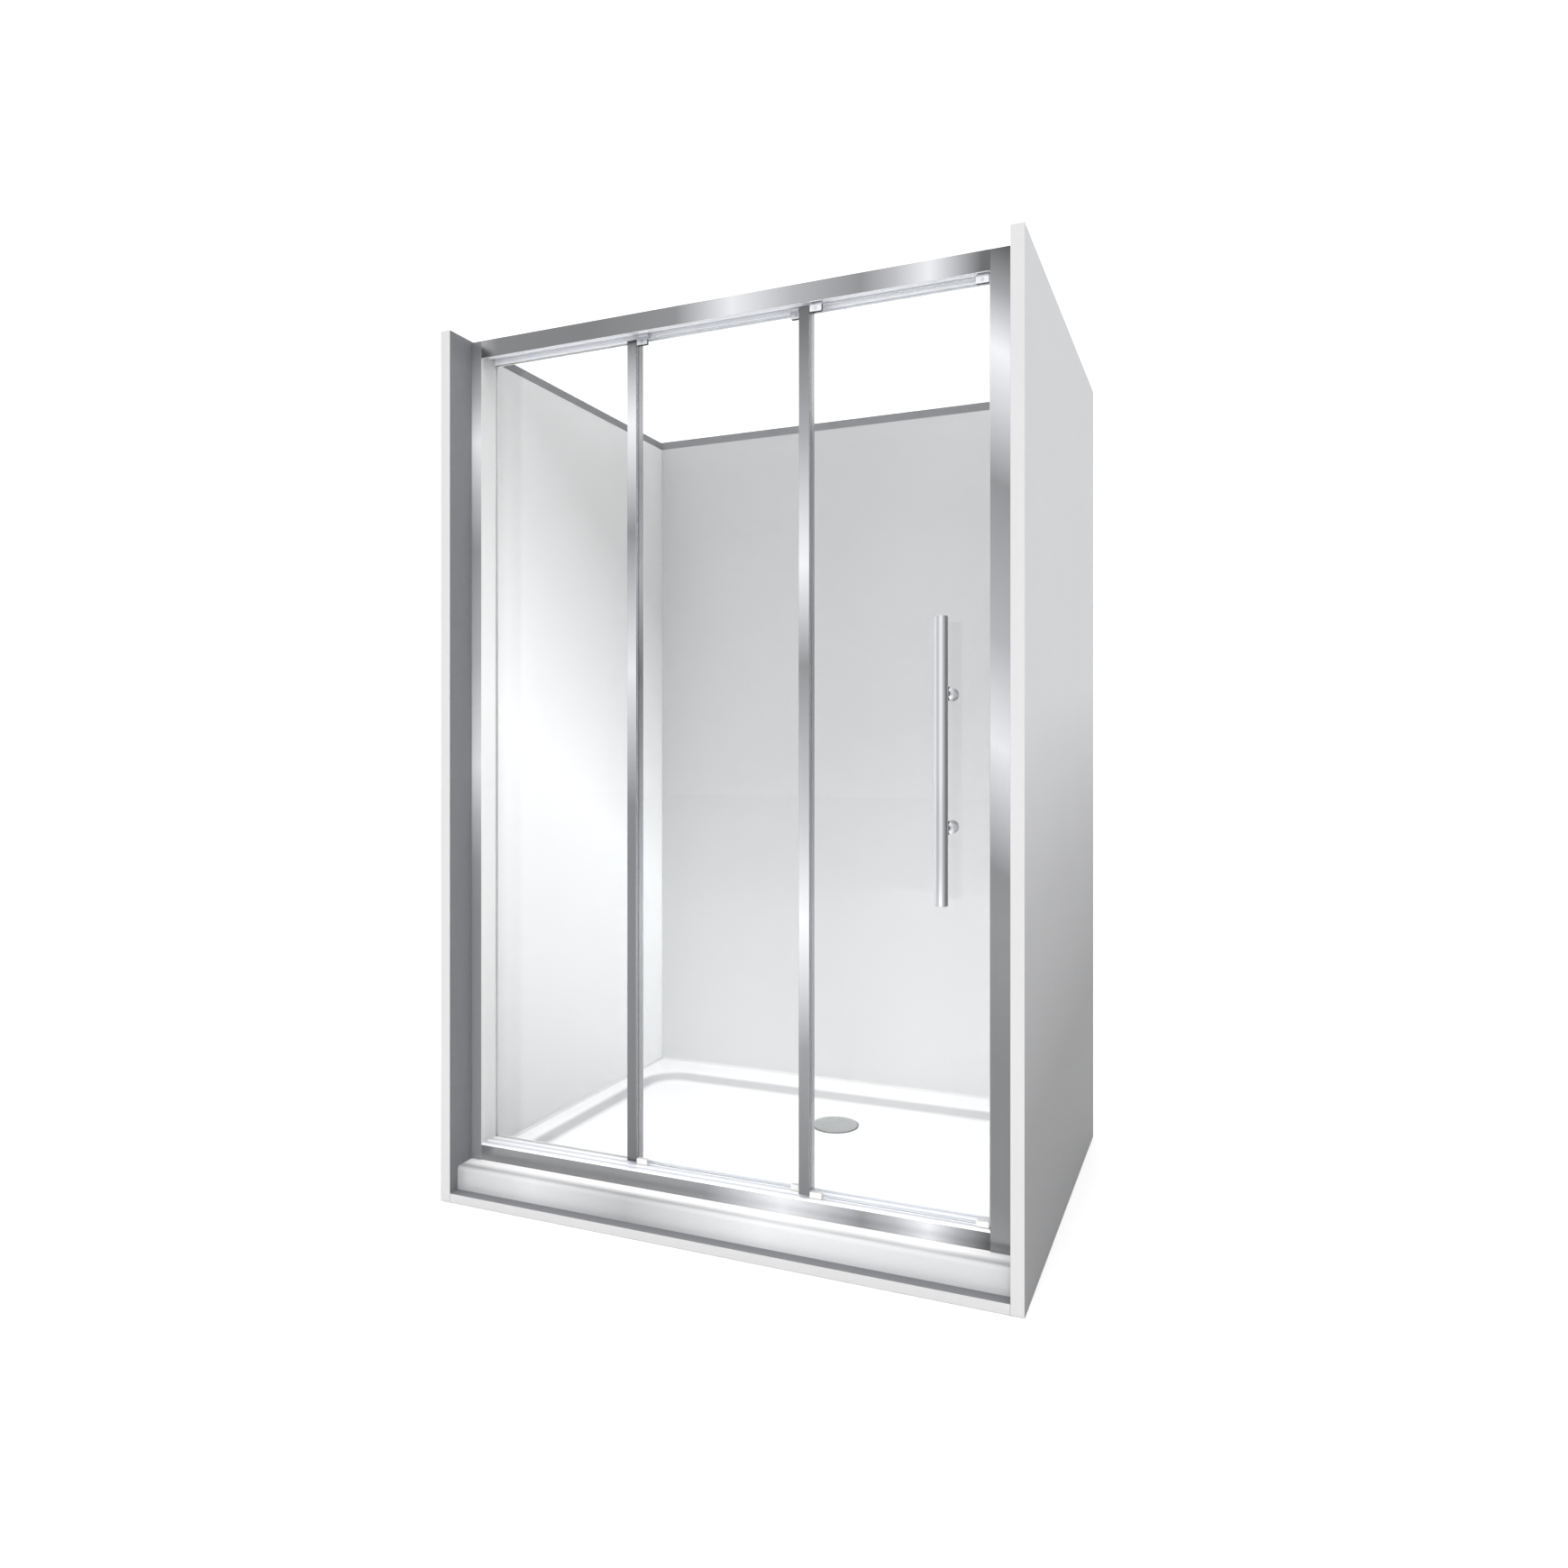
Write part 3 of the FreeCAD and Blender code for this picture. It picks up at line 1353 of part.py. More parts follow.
make_running_gear("middle", "middle_first_hanger", "middle_last_hanger", "middle_plane")
make_running_gear("door", "door_first_hanger", "door_last_hanger", "door_plane")
make_closing_edge()
make_handle()

doc.recompute()

# --------------------------------------------------------------------------------------------------
# Checks and export
# --------------------------------------------------------------------------------------------------

failed = [item.Name for item in doc.Objects if {"Invalid", "Error"} & set(item.State)]
if failed:
    raise RuntimeError("failed objects: " + ", ".join(failed))

os.makedirs("parts", exist_ok=True)
for item in nodes:
    if item.Shape.isNull() or not item.Shape.isValid():
        raise RuntimeError("bad shape: " + item.Label)
    item.Shape.exportStep(f"parts/{item.Label}.step")
print("nodes", len(nodes), "door travel", round(read("door_travel"), 1))
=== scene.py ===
"""Shower enclosure with a sliding door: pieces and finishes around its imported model."""

import json
import math

import bmesh
import bpy
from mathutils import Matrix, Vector


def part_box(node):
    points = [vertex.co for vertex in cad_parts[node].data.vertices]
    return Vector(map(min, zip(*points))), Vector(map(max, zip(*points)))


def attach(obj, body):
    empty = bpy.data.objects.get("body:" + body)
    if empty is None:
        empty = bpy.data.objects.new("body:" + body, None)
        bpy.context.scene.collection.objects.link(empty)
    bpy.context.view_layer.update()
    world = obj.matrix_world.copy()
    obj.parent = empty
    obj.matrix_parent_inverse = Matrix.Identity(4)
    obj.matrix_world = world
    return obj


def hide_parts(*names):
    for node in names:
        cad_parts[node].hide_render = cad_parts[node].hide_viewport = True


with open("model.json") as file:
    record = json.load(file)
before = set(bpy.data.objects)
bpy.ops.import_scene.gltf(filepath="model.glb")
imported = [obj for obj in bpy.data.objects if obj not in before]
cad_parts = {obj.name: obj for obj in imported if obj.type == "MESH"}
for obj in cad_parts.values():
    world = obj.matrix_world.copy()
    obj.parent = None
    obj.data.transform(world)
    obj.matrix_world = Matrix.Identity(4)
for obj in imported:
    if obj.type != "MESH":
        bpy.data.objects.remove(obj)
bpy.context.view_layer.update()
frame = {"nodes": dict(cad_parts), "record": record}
CAD = frame["nodes"]

BODY_OF = {}
for body_name, members in frame["record"]["behaviour"]["bodies"].items():
    for member in members:
        BODY_OF[member] = body_name

X_WAY, Y_WAY, Z_WAY = (1.0, 0.0, 0.0), (0.0, 1.0, 0.0), (0.0, 0.0, 1.0)
WHITE = (1.0, 1.0, 1.0)

# the camera that fits the photo best: metres, degrees, millimetres and a share of the frame
CAMERA_PLACE = (0.96035, -2.33484, 0.970)
CAMERA_TURN = 22.797
LENS, SENSOR, LENS_SHIFT = 24.79, 36.0, -0.02103

# brightness of the plain white surroundings, and the lamps' size and power
SURROUND = 1.45
LAMP_SIZE, OVERHEAD_POWER, FRONT_POWER = 4.0, 122.0, 140.0
SURFACE_BOUNCES, GLASS_BOUNCES, CLEAR_BOUNCES = 8, 12, 16

FLOOR_SIZE, FLOOR_GAP, FLOOR_TONES = 40.0, 0.0004, (0.86, 0.9)


# ---------------------------------------------------------------- camera, light and floor


def place_camera():
    """Stands to the right of the doorway, at the height of the handle."""
    data = bpy.data.cameras.new("camera")
    data.lens = LENS
    data.sensor_width = SENSOR
    data.shift_y = LENS_SHIFT
    data.clip_start = 0.05
    data.clip_end = 100.0
    camera = bpy.data.objects.new("camera", data)
    camera.location = CAMERA_PLACE
    camera.rotation_euler = (math.radians(90.0), 0.0, math.radians(CAMERA_TURN))
    bpy.context.scene.collection.objects.link(camera)
    bpy.context.scene.camera = camera


def light_room():
    """White surroundings, with one large soft lamp overhead and one in front."""
    world = bpy.data.worlds.new("studio")
    world.use_nodes = True
    background = world.node_tree.nodes["Background"]
    background.inputs["Color"].default_value = (*WHITE, 1.0)
    background.inputs["Strength"].default_value = SURROUND
    scene = bpy.context.scene
    scene.world = world
    hang_lamp("overhead_lamp", (0.0, -0.4, 4.6), (0.0, 0.0, 0.0), OVERHEAD_POWER)
    hang_lamp("front_lamp", (0.6, -5.2, 1.6), (-0.1, 0.3, 0.5), FRONT_POWER)
    scene.view_settings.view_transform = "Standard"
    scene.view_settings.look = "None"
    scene.cycles.use_denoising = True
    scene.cycles.denoising_input_passes = "RGB_ALBEDO"
    scene.cycles.max_bounces = GLASS_BOUNCES
    scene.cycles.diffuse_bounces = SURFACE_BOUNCES
    scene.cycles.glossy_bounces = SURFACE_BOUNCES
    scene.cycles.transmission_bounces = GLASS_BOUNCES
    scene.cycles.transparent_max_bounces = CLEAR_BOUNCES


def hang_lamp(name, place, target, power):
    """A square soft lamp that looks at a point, and shows neither itself nor its mirror image."""
    lamp = bpy.data.lights.new(name, "AREA")
    lamp.shape = "SQUARE"
    lamp.size = LAMP_SIZE
    lamp.energy = power
    holder = bpy.data.objects.new(name, lamp)
    holder.location = place
    sight = Vector(target) - Vector(place)
    holder.rotation_euler = sight.to_track_quat("-Z", "Y").to_euler()
    holder.visible_camera = False
    holder.visible_glossy = False
    holder.visible_transmission = False
    bpy.context.scene.collection.objects.link(holder)


def lay_floor():
    """Plain pale floor just under the part."""
    deselect()
    bpy.ops.mesh.primitive_plane_add(size=FLOOR_SIZE, location=(0.0, 0.0, -FLOOR_GAP))
    floor = bpy.context.active_object
    floor.name = "studio_floor"
    material, tree, shader = new_finish("pale_floor")
    speckle = add(tree, "ShaderNodeTexNoise", {"Scale": 3.0, "Detail": 2.0})
    link_place(tree, speckle)
    dark, light = FLOOR_TONES
    feeds = {"Value": speckle.outputs["Fac"], "To Min": dark, "To Max": light}
    tone = add(tree, "ShaderNodeMapRange", feeds)
    wire(tree, shader, "Base Color", grey_colour(tree, tone.outputs["Result"]))
    shader.inputs["Roughness"].default_value = 0.75
    shader.inputs["Specular IOR Level"].default_value = 0.2
    floor.data.materials.append(material)


# ---------------------------------------------------------------- node wiring


def add(tree, kind, feeds=None, **settings):
    """Adds a node. A feed is a socket to wire in, or a plain value."""
    item = tree.nodes.new(kind)
    for key, value in settings.items():
        setattr(item, key, value)
    for key, value in (feeds or {}).items():
        wire(tree, item, key, value)
    return item


def wire(tree, item, key, value):
    """Wires a socket into an input, or sets the input to a plain value."""
    if isinstance(value, bpy.types.NodeSocket):
        tree.links.new(value, item.inputs[key])
    else:
        item.inputs[key].default_value = value


def link_place(tree, item):
    """Feeds the piece's own coordinates, in metres."""
    place = add(tree, "ShaderNodeTexCoord")
    tree.links.new(place.outputs["Object"], item.inputs["Vector"])


def grey_colour(tree, value):
    """A grey with the same value in red, green and blue."""
    mix = add(tree, "ShaderNodeCombineColor", {"Red": value, "Green": value, "Blue": value})
    return mix.outputs["Color"]


def times(tree, first, second):
    """Product of two numbers."""
    item = add(tree, "ShaderNodeMath", {0: first, 1: second}, operation="MULTIPLY")
    return item.outputs[0]


def tinted(tree, colour, factor):
    """Colour made lighter or darker by a factor near one."""
    item = add(tree, "ShaderNodeVectorMath", {0: colour, "Scale": factor}, operation="SCALE")
    return item.outputs[0]


def along(tree, direction):
    """Distance of a point along a direction, in metres."""
    place = add(tree, "ShaderNodeTexCoord")
    feeds = {0: place.outputs["Object"], 1: direction}
    item = add(tree, "ShaderNodeVectorMath", feeds, operation="DOT_PRODUCT")
    return item.outputs["Value"]


def facing(tree, direction):
    """How squarely the surface faces a direction: one fully, zero sideways, minus one away."""
    shape = add(tree, "ShaderNodeNewGeometry")
    feeds = {0: shape.outputs["Normal"], 1: direction}
    item = add(tree, "ShaderNodeVectorMath", feeds, operation="DOT_PRODUCT")
    return item.outputs["Value"]


def rising(tree, value, low, high, curve="LINEAR"):
    """Zero below the low value, one above the high one, and between them in between."""
    feeds = {"Value": value, "From Min": low, "From Max": high}
    item = add(tree, "ShaderNodeMapRange", feeds, interpolation_type=curve)
    return item.outputs["Result"]


# the curve that turns a picture's tone into light, and the lightest surface
DARK_END, DARK_SHARE, CURVE_SHIFT, CURVE_POWER = 0.04045, 12.92, 0.055, 2.4
LIGHTEST = 0.93


def shade(tone):
    """Surface value that looks as light as this tone, from 0 to 1, in the white surroundings."""
    if tone <= DARK_END:
        value = tone / DARK_SHARE
    else:
        value = ((tone + CURVE_SHIFT) / (1.0 + CURVE_SHIFT)) ** CURVE_POWER
    return min(value / SURROUND, LIGHTEST)


def bands(tree, value, stops, tint=WHITE, level=shade):
    """Soft bands of tone along a distance. Stops are (distance, tone) in rising order."""
    low, high = stops[0][0], stops[-1][0]
    ramp = add(tree, "ShaderNodeValToRGB", {"Fac": rising(tree, value, low, high)})
    marks = ramp.color_ramp.elements
    while len(marks) < len(stops):
        marks.new(0.5)
    for mark, (distance, _) in zip(marks, stops):
        mark.position = (distance - low) / (high - low)
    for mark, (_, tone) in zip(marks, stops):
        mark.color = [level(tone) * share for share in tint] + [1.0]
    return ramp.outputs["Color"]


def blend_colour(tree, factor, first, second):
    """First colour where the factor is zero, second where it is one."""
    mix = add(tree, "ShaderNodeMix", data_type="RGBA")
    wire(tree, mix, 0, factor)
    wire(tree, mix, 6, first)
    wire(tree, mix, 7, second)
    return mix.outputs[2]


def plain(tone, tint=WHITE):
    """A plain colour value for a socket."""
    return [shade(tone) * share for share in tint] + [1.0]


def new_finish(name):
    """A material with its Principled shader, ready to be wired."""
    material = bpy.data.materials.new(name)
    material.use_nodes = True
    tree = material.node_tree
    return material, tree, tree.nodes["Principled BSDF"]


def new_group(name, inputs):
    """An empty node group that gives a tint, a roughness and a height, and its two end nodes."""
    tree = bpy.data.node_groups.new(name, "ShaderNodeTree")
    for label, kind, value in inputs:
        socket = tree.interface.new_socket(name=label, in_out="INPUT", socket_type=kind)
        socket.default_value = value
    for label in ("Tint", "Roughness", "Height"):
        tree.interface.new_socket(name=label, in_out="OUTPUT", socket_type="NodeSocketFloat")
    return tree, tree.nodes.new("NodeGroupInput"), tree.nodes.new("NodeGroupOutput")


def mottled(tree, value, middle, mottle):
    """A factor near one that swings with a value about its middle."""
    swing = add(tree, "ShaderNodeMath", {0: value, 1: middle}, operation="SUBTRACT")
    share = times(tree, swing.outputs[0], mottle)
    factor = add(tree, "ShaderNodeMath", {0: share, 1: 1.0}, operation="ADD")
    return factor.outputs[0]


def hand_out(tree, end, tint, roughness, height):
    """Wires what a node group gives."""
    for label, socket in (("Tint", tint), ("Roughness", roughness), ("Height", height)):
        tree.links.new(socket, end.inputs[label])


def use_group(tree, name, gloss=None, **values):
    """Places a node group and sets its own values. Gloss is its lowest and highest roughness."""
    item = add(tree, "ShaderNodeGroup", node_tree=bpy.data.node_groups[name])
    if gloss:
        values.update({"Gloss Low": gloss[0], "Gloss High": gloss[1]})
    for key, value in values.items():
        wire(tree, item, key, value)
    return item


def cover(tree, shader, colour, effect):
    """Base colour and roughness, with the unevenness of a shared effect."""
    wire(tree, shader, "Base Color", tinted(tree, colour, effect.outputs["Tint"]))
    wire(tree, shader, "Roughness", effect.outputs["Roughness"])


def relief(tree, shader, effect, depth, strength=1.0):
    """Fine relief from a shared effect, depth in metres."""
    feeds = {"Height": effect.outputs["Height"], "Distance": depth, "Strength": strength}
    bump = add(tree, "ShaderNodeBump", feeds)
    tree.links.new(bump.outputs["Normal"], shader.inputs["Normal"])


# ---------------------------------------------------------------- shared effects


def build_moulded_skin():
    """Slight unevenness of a moulded or poured surface: tint, roughness and height."""
    inputs = [
        ("Grain", "NodeSocketFloat", 300.0),
        ("Waves", "NodeSocketFloat", 14.0),
        ("Mottle", "NodeSocketFloat", 0.03),
        ("Gloss Low", "NodeSocketFloat", 0.3),
        ("Gloss High", "NodeSocketFloat", 0.4),
    ]
    tree, start, end = new_group("moulded_skin", inputs)
    grain = add(tree, "ShaderNodeTexNoise", {"Scale": start.outputs["Grain"], "Detail": 3.0})
    waves = add(tree, "ShaderNodeTexNoise", {"Scale": start.outputs["Waves"], "Detail": 2.0})
    link_place(tree, grain)
    link_place(tree, waves)
    tint = mottled(tree, waves.outputs["Fac"], 0.5, start.outputs["Mottle"])
    feeds = {
        "Value": waves.outputs["Fac"],
        "From Min": 0.2,
        "From Max": 0.8,
        "To Min": start.outputs["Gloss Low"],
        "To Max": start.outputs["Gloss High"],
    }
    rough = add(tree, "ShaderNodeMapRange", feeds, interpolation_type="SMOOTHSTEP")
    hand_out(tree, end, tint, rough.outputs["Result"], grain.outputs["Fac"])


def build_drawn_lines():
    """Fine lines that drawing and polishing leave along a profile."""
    inputs = [
        ("Stretch", "NodeSocketVector", (0.02, 1.0, 1.0)),
        ("Fineness", "NodeSocketFloat", 900.0),
        ("Gloss Low", "NodeSocketFloat", 0.2),
        ("Gloss High", "NodeSocketFloat", 0.27),
        ("Mottle", "NodeSocketFloat", 0.04),
    ]
    tree, start, end = new_group("drawn_lines", inputs)
    place = add(tree, "ShaderNodeTexCoord")
    feeds = {0: place.outputs["Object"], 1: start.outputs["Stretch"]}
    drawn = add(tree, "ShaderNodeVectorMath", feeds, operation="MULTIPLY")
    feeds = {"Vector": drawn.outputs[0], "Scale": start.outputs["Fineness"], "Detail": 4.0}
    lines = add(tree, "ShaderNodeTexNoise", feeds)
    marks = add(tree, "ShaderNodeTexNoise", {"Scale": 9.0, "Detail": 3.0})
    link_place(tree, marks)
    feeds = {0: lines.outputs["Fac"], 1: marks.outputs["Fac"]}
    both = add(tree, "ShaderNodeMath", feeds, operation="ADD")
    feeds = {
        "Value": both.outputs[0],
        "From Min": 0.75,
        "From Max": 1.25,
        "To Min": start.outputs["Gloss Low"],
        "To Max": start.outputs["Gloss High"],
    }
    rough = add(tree, "ShaderNodeMapRange", feeds)
    tint = mottled(tree, lines.outputs["Fac"], 0.5, start.outputs["Mottle"])
    hand_out(tree, end, tint, rough.outputs["Result"], lines.outputs["Fac"])


def build_board_fibre():
    """Short pressed fibres and a faint cloudiness of building board."""
    inputs = [("Fibre", "NodeSocketFloat", 260.0), ("Mottle", "NodeSocketFloat", 0.08)]
    tree, start, end = new_group("board_fibre", inputs)
    fibre = add(tree, "ShaderNodeTexNoise", {"Scale": start.outputs["Fibre"], "Detail": 5.0})
    cloud = add(tree, "ShaderNodeTexNoise", {"Scale": 6.0, "Detail": 4.0})
    link_place(tree, fibre)
    link_place(tree, cloud)
    feeds = {0: fibre.outputs["Fac"], 1: cloud.outputs["Fac"]}
    both = add(tree, "ShaderNodeMath", feeds, operation="ADD")
    tint = mottled(tree, both.outputs[0], 1.0, start.outputs["Mottle"])
    feeds = {"Value": fibre.outputs["Fac"], "To Min": 0.55, "To Max": 0.75}
    rough = add(tree, "ShaderNodeMapRange", feeds)
    hand_out(tree, end, tint, rough.outputs["Result"], fibre.outputs["Fac"])


# ---------------------------------------------------------------- finishes


# tints that a tone is multiplied by
METAL_TINT = (0.955, 0.967, 1.0)
BOARD_TINT = (0.93, 0.945, 1.0)
OUTER_TINT = (0.97, 0.98, 1.0)
TRAY_TINT = (0.975, 0.985, 1.0)
LEFT_TINT = (0.985, 0.994, 0.993)
BACK_TINT = (0.985, 0.991, 1.0)
IVORY = (1.0, 1.0, 0.99)

# how far the drawn lines are stretched: across the front, upright, a little, or not
ACROSS, UPRIGHT = (0.02, 1.0, 1.0), (1.0, 1.0, 0.02)
SHORT, EVEN = (1.0, 1.0, 0.05), (1.0, 1.0, 1.0)

GLASS_IOR = 1.3


def board_finish(name, stops, direction, tint):
    """Painted building board. Stops give its tone along a direction: painted light and shade."""
    material, tree, shader = new_finish(name)
    fibre = use_group(tree, "board_fibre", Fibre=420.0, Mottle=0.05)
    cover(tree, shader, bands(tree, along(tree, direction), stops, tint), fibre)
    relief(tree, shader, fibre, depth=0.00012)
    return material


def sheet_finish(name, stops, direction, tint, cross_stops, cross_way):
    """Satin acrylic wall sheet with painted light and shade along one direction, and lightened
    with more painted light along another.
    """
    material, tree, shader = new_finish(name)
    skin = use_group(tree, "moulded_skin", (0.42, 0.5), Waves=5.0, Mottle=0.02)
    colour = bands(tree, along(tree, direction), stops, tint)
    # a factor of painted light that lifts the sheet along another direction
    cross = bands(tree, along(tree, cross_way), cross_stops, level=float)
    cover(tree, shader, tinted(tree, colour, cross), skin)
    shader.inputs["Specular IOR Level"].default_value = 0.3
    return material


def profile_finish(name, direction, stretch, stops, metallic=1.0, tint=METAL_TINT):
    """Bright aluminium profile with painted reflections, whose tone swells and fades along its
    length.
    """
    material, tree, shader = new_finish(name)
    lines = use_group(tree, "drawn_lines", Stretch=stretch)
    cover(tree, shader, bands(tree, along(tree, direction), stops, tint), lines)
    shader.inputs["Metallic"].default_value = metallic
    relief(tree, shader, lines, depth=0.00002, strength=0.6)
    return material


def metal_finish(name, tone, gloss, fineness=1200.0, stretch=SHORT, tint=METAL_TINT):
    """Plain bright metal for small parts."""
    material, tree, shader = new_finish(name)
    lines = use_group(tree, "drawn_lines", gloss, Stretch=stretch, Fineness=fineness, Mottle=0.1)
    cover(tree, shader, plain(tone, tint)[:3], lines)
    shader.inputs["Metallic"].default_value = 1.0
    relief(tree, shader, lines, depth=0.00001, strength=0.5)
    return material


def chrome_finish(name, stops, direction):
    """Polished chrome with a painted highlight on one side and painted shade on the other, and
    duller at its edges, where it is not metallic and its painted tones show as they are.
    """
    material, tree, shader = new_finish(name)
    gloss = (0.06, 0.12)
    lines = use_group(tree, "drawn_lines", gloss, Stretch=UPRIGHT, Fineness=1500.0, Mottle=0.05)
    side = facing(tree, direction)
    cover(tree, shader, bands(tree, side, stops, METAL_TINT), lines)
    # not metallic where the painted shade lies and at the far edge, so the painted tones show as
    # they are
    dull_edges = [(-0.9, 0.0), (-0.75, 1.0), (0.28, 1.0), (0.42, 0.0)]
    wire(tree, shader, "Metallic", bands(tree, side, dull_edges, level=float))
    relief(tree, shader, lines, depth=0.000008, strength=0.4)
    return material


def moulded_finish(name, tone, gloss, tint=WHITE, grain=600.0, depth=0.00004):
    """Moulded plastic, rubber or silicone."""
    material, tree, shader = new_finish(name)
    skin = use_group(tree, "moulded_skin", gloss, Grain=grain, Waves=30.0, Mottle=0.06)
    cover(tree, shader, plain(tone, tint)[:3], skin)
    relief(tree, shader, skin, depth)
    return material


def glass_finish(name, tint, marks):
    """Clear toughened glass that lets light through to what stands behind it."""
    material, tree, shader = new_finish(name)
    skin = use_group(tree, "moulded_skin", (0.0, marks), Waves=4.0, Mottle=0.01)
    cover(tree, shader, tint, skin)
    shader.inputs["Transmission Weight"].default_value = 1.0
    shader.inputs["IOR"].default_value = GLASS_IOR
    shader.inputs["Specular IOR Level"].default_value = 0.3
    path = add(tree, "ShaderNodeLightPath")
    feeds = {0: path.outputs["Is Shadow Ray"], 1: path.outputs["Is Diffuse Ray"]}
    passes = add(tree, "ShaderNodeMath", feeds, operation="MAXIMUM")
    seen = add(tree, "ShaderNodeMath", {0: 1.0, 1: passes.outputs[0]}, operation="SUBTRACT")
    wire(tree, shader, "Alpha", seen.outputs[0])
    return material


def tray_finish(name, apron_stops, ledge):
    """White acrylic, with painted shade that greys the basin's slopes. The apron carries painted
    bands of light and shade, whose tones fade out over the ledge.
    """
    material, tree, shader = new_finish(name)
    skin = use_group(tree, "moulded_skin", (0.29, 0.35), Grain=160.0, Waves=6.0, Mottle=0.008)
    # painted shade greys the slopes; the flat rim and floor stay white
    flat = rising(tree, facing(tree, Z_WAY), 0.8, 0.995)
    basin = blend_colour(tree, flat, plain(0.84, TRAY_TINT), plain(1.1))
    # painted bands of light and shade across the apron's front
    apron = bands(tree, along(tree, X_WAY), apron_stops, TRAY_TINT)
    start, end = ledge
    behind = rising(tree, along(tree, Y_WAY), start, end, "SMOOTHSTEP")
    cover(tree, shader, blend_colour(tree, behind, apron, basin), skin)
    shader.inputs["Coat Weight"].default_value = 0.2
    shader.inputs["Coat Roughness"].default_value = 0.1
    relief(tree, shader, skin, depth=0.000002)
    return material


# ---------------------------------------------------------------- modelling helpers


# lengths in metres and angles in radians
SAME_CORNER, SAME_FLAT = 0.000002, math.radians(0.5)
LONG_EDGE, PIECE_SHARP, TRAY_SHARP = 0.012, math.radians(28.0), math.radians(20.0)
ROD_SIDES, TRAY_STEPS, BASIN_STEPS = 72, 6, 16


def deselect():
    """Leaves edit mode and lets go of everything."""
    active = bpy.context.view_layer.objects.active
    if active is not None and active.mode != "OBJECT":
        bpy.ops.object.mode_set(mode="OBJECT")
    bpy.ops.object.select_all(action="DESELECT")


def take_up(piece):
    """Makes one piece the only one selected."""
    deselect()
    piece.select_set(True)
    bpy.context.view_layer.objects.active = piece


def add_block(name, low, high):
    """A plain block between two corners, to be shaped."""
    deselect()
    middle = [(a + b) / 2.0 for a, b in zip(low, high)]
    span = [b - a for a, b in zip(low, high)]
    bpy.ops.mesh.primitive_cube_add(size=1.0, location=middle, scale=span)
    return name_and_apply(name)


def add_rod(name, centre, radius, bottom, top):
    """A plain upright cylinder to cut with."""
    deselect()
    middle = (centre[0], centre[1], (bottom + top) / 2.0)
    bpy.ops.mesh.primitive_cylinder_add(
        vertices=ROD_SIDES, radius=radius, depth=top - bottom, location=middle
    )
    return name_and_apply(name)


def name_and_apply(name):
    """Names a new primitive and moves its place into its mesh."""
    piece = bpy.context.active_object
    piece.name = name
    piece.data.name = name
    bpy.ops.object.transform_apply(location=True, rotation=True, scale=True)
    return piece


def open_shape(piece, kind):
    """Opens a piece for editing, to pick corners, edges or faces, with nothing picked yet."""
    take_up(piece)
    bpy.ops.object.mode_set(mode="EDIT")
    bpy.ops.mesh.select_mode(type=kind)
    bpy.ops.mesh.select_all(action="DESELECT")
    return bmesh.from_edit_mesh(piece.data)


def select_edges(piece, test):
    """Opens a piece for editing with the edges selected that pass a test."""
    for edge in open_shape(piece, "EDGE").edges:
        edge.select_set(test(edge))
    bmesh.update_edit_mesh(piece.data)


def select_faces(piece, test):
    """Opens a piece for editing with the faces selected whose middle and normal pass a test."""
    for face in open_shape(piece, "FACE").faces:
        face.select_set(test(face.calc_center_median(), face.normal))
    bmesh.update_edit_mesh(piece.data)


def bevel_picked(width, segments):
    """Rounds the selected edges and leaves edit mode."""
    bpy.ops.mesh.bevel(offset=width, segments=segments, affect="EDGES", clamp_overlap=True)
    bpy.ops.object.mode_set(mode="OBJECT")


def round_edges(piece, test, width):
    """Rounds the sharp edges whose two ends pass a test."""

    def is_meant(edge):
        first, second = edge.verts
        if not (test(first.co) and test(second.co)):
            return False
        return edge.calc_face_angle(0.0) > TRAY_SHARP

    select_edges(piece, is_meant)
    bevel_picked(width, TRAY_STEPS)


def cut_away(piece, cutter):
    """Cuts one solid out of another and clears it away."""
    take_up(piece)
    bpy.ops.object.modifier_add(type="BOOLEAN")
    cut = piece.modifiers[-1]
    cut.operation = "DIFFERENCE"
    cut.solver = "EXACT"
    cut.object = cutter
    bpy.ops.object.modifier_apply(modifier=cut.name)
    bpy.data.objects.remove(cutter)


def start_from(node, name):
    """A CAD node's mesh as a new piece, its loose corners merged and its flat faces whole."""
    piece = bpy.data.objects.new(name, CAD[node].data.copy())
    bpy.context.scene.collection.objects.link(piece)
    piece.data.materials.clear()
    take_up(piece)
    bpy.ops.object.mode_set(mode="EDIT")
    bpy.ops.mesh.select_all(action="SELECT")
    bpy.ops.mesh.customdata_custom_splitnormals_clear()
    bpy.ops.mesh.remove_doubles(threshold=SAME_CORNER)
    bpy.ops.mesh.dissolve_limited(angle_limit=SAME_FLAT)
    bpy.ops.object.mode_set(mode="OBJECT")
    return piece


def is_long_and_sharp(edge):
    """Whether an edge between two faces is long and sharp enough to be rounded."""
    if len(edge.link_faces) != 2 or edge.calc_length() <= LONG_EDGE:
        return False
    return edge.calc_face_angle(0.0) > PIECE_SHARP


def soften(node, width, segments=2):
    """A CAD node's piece with its long edges rounded, in the node's place."""
    piece = start_from(node, f"{node}_piece")
    select_edges(piece, is_long_and_sharp)
    bevel_picked(width, segments)
    smooth(piece)
    settle(piece, node)
    return piece


def smooth(piece, angle=32.0):
    """Smooths a piece's rounded edges and keeps its flat faces flat."""
    take_up(piece)
    bpy.ops.object.shade_smooth_by_angle(angle=math.radians(angle))
    bpy.ops.object.modifier_add(type="WEIGHTED_NORMAL")
    even = piece.modifiers[-1]
    even.mode = "FACE_AREA"
    even.weight = 50
    even.keep_sharp = True
    bpy.ops.object.modifier_apply(modifier=even.name)


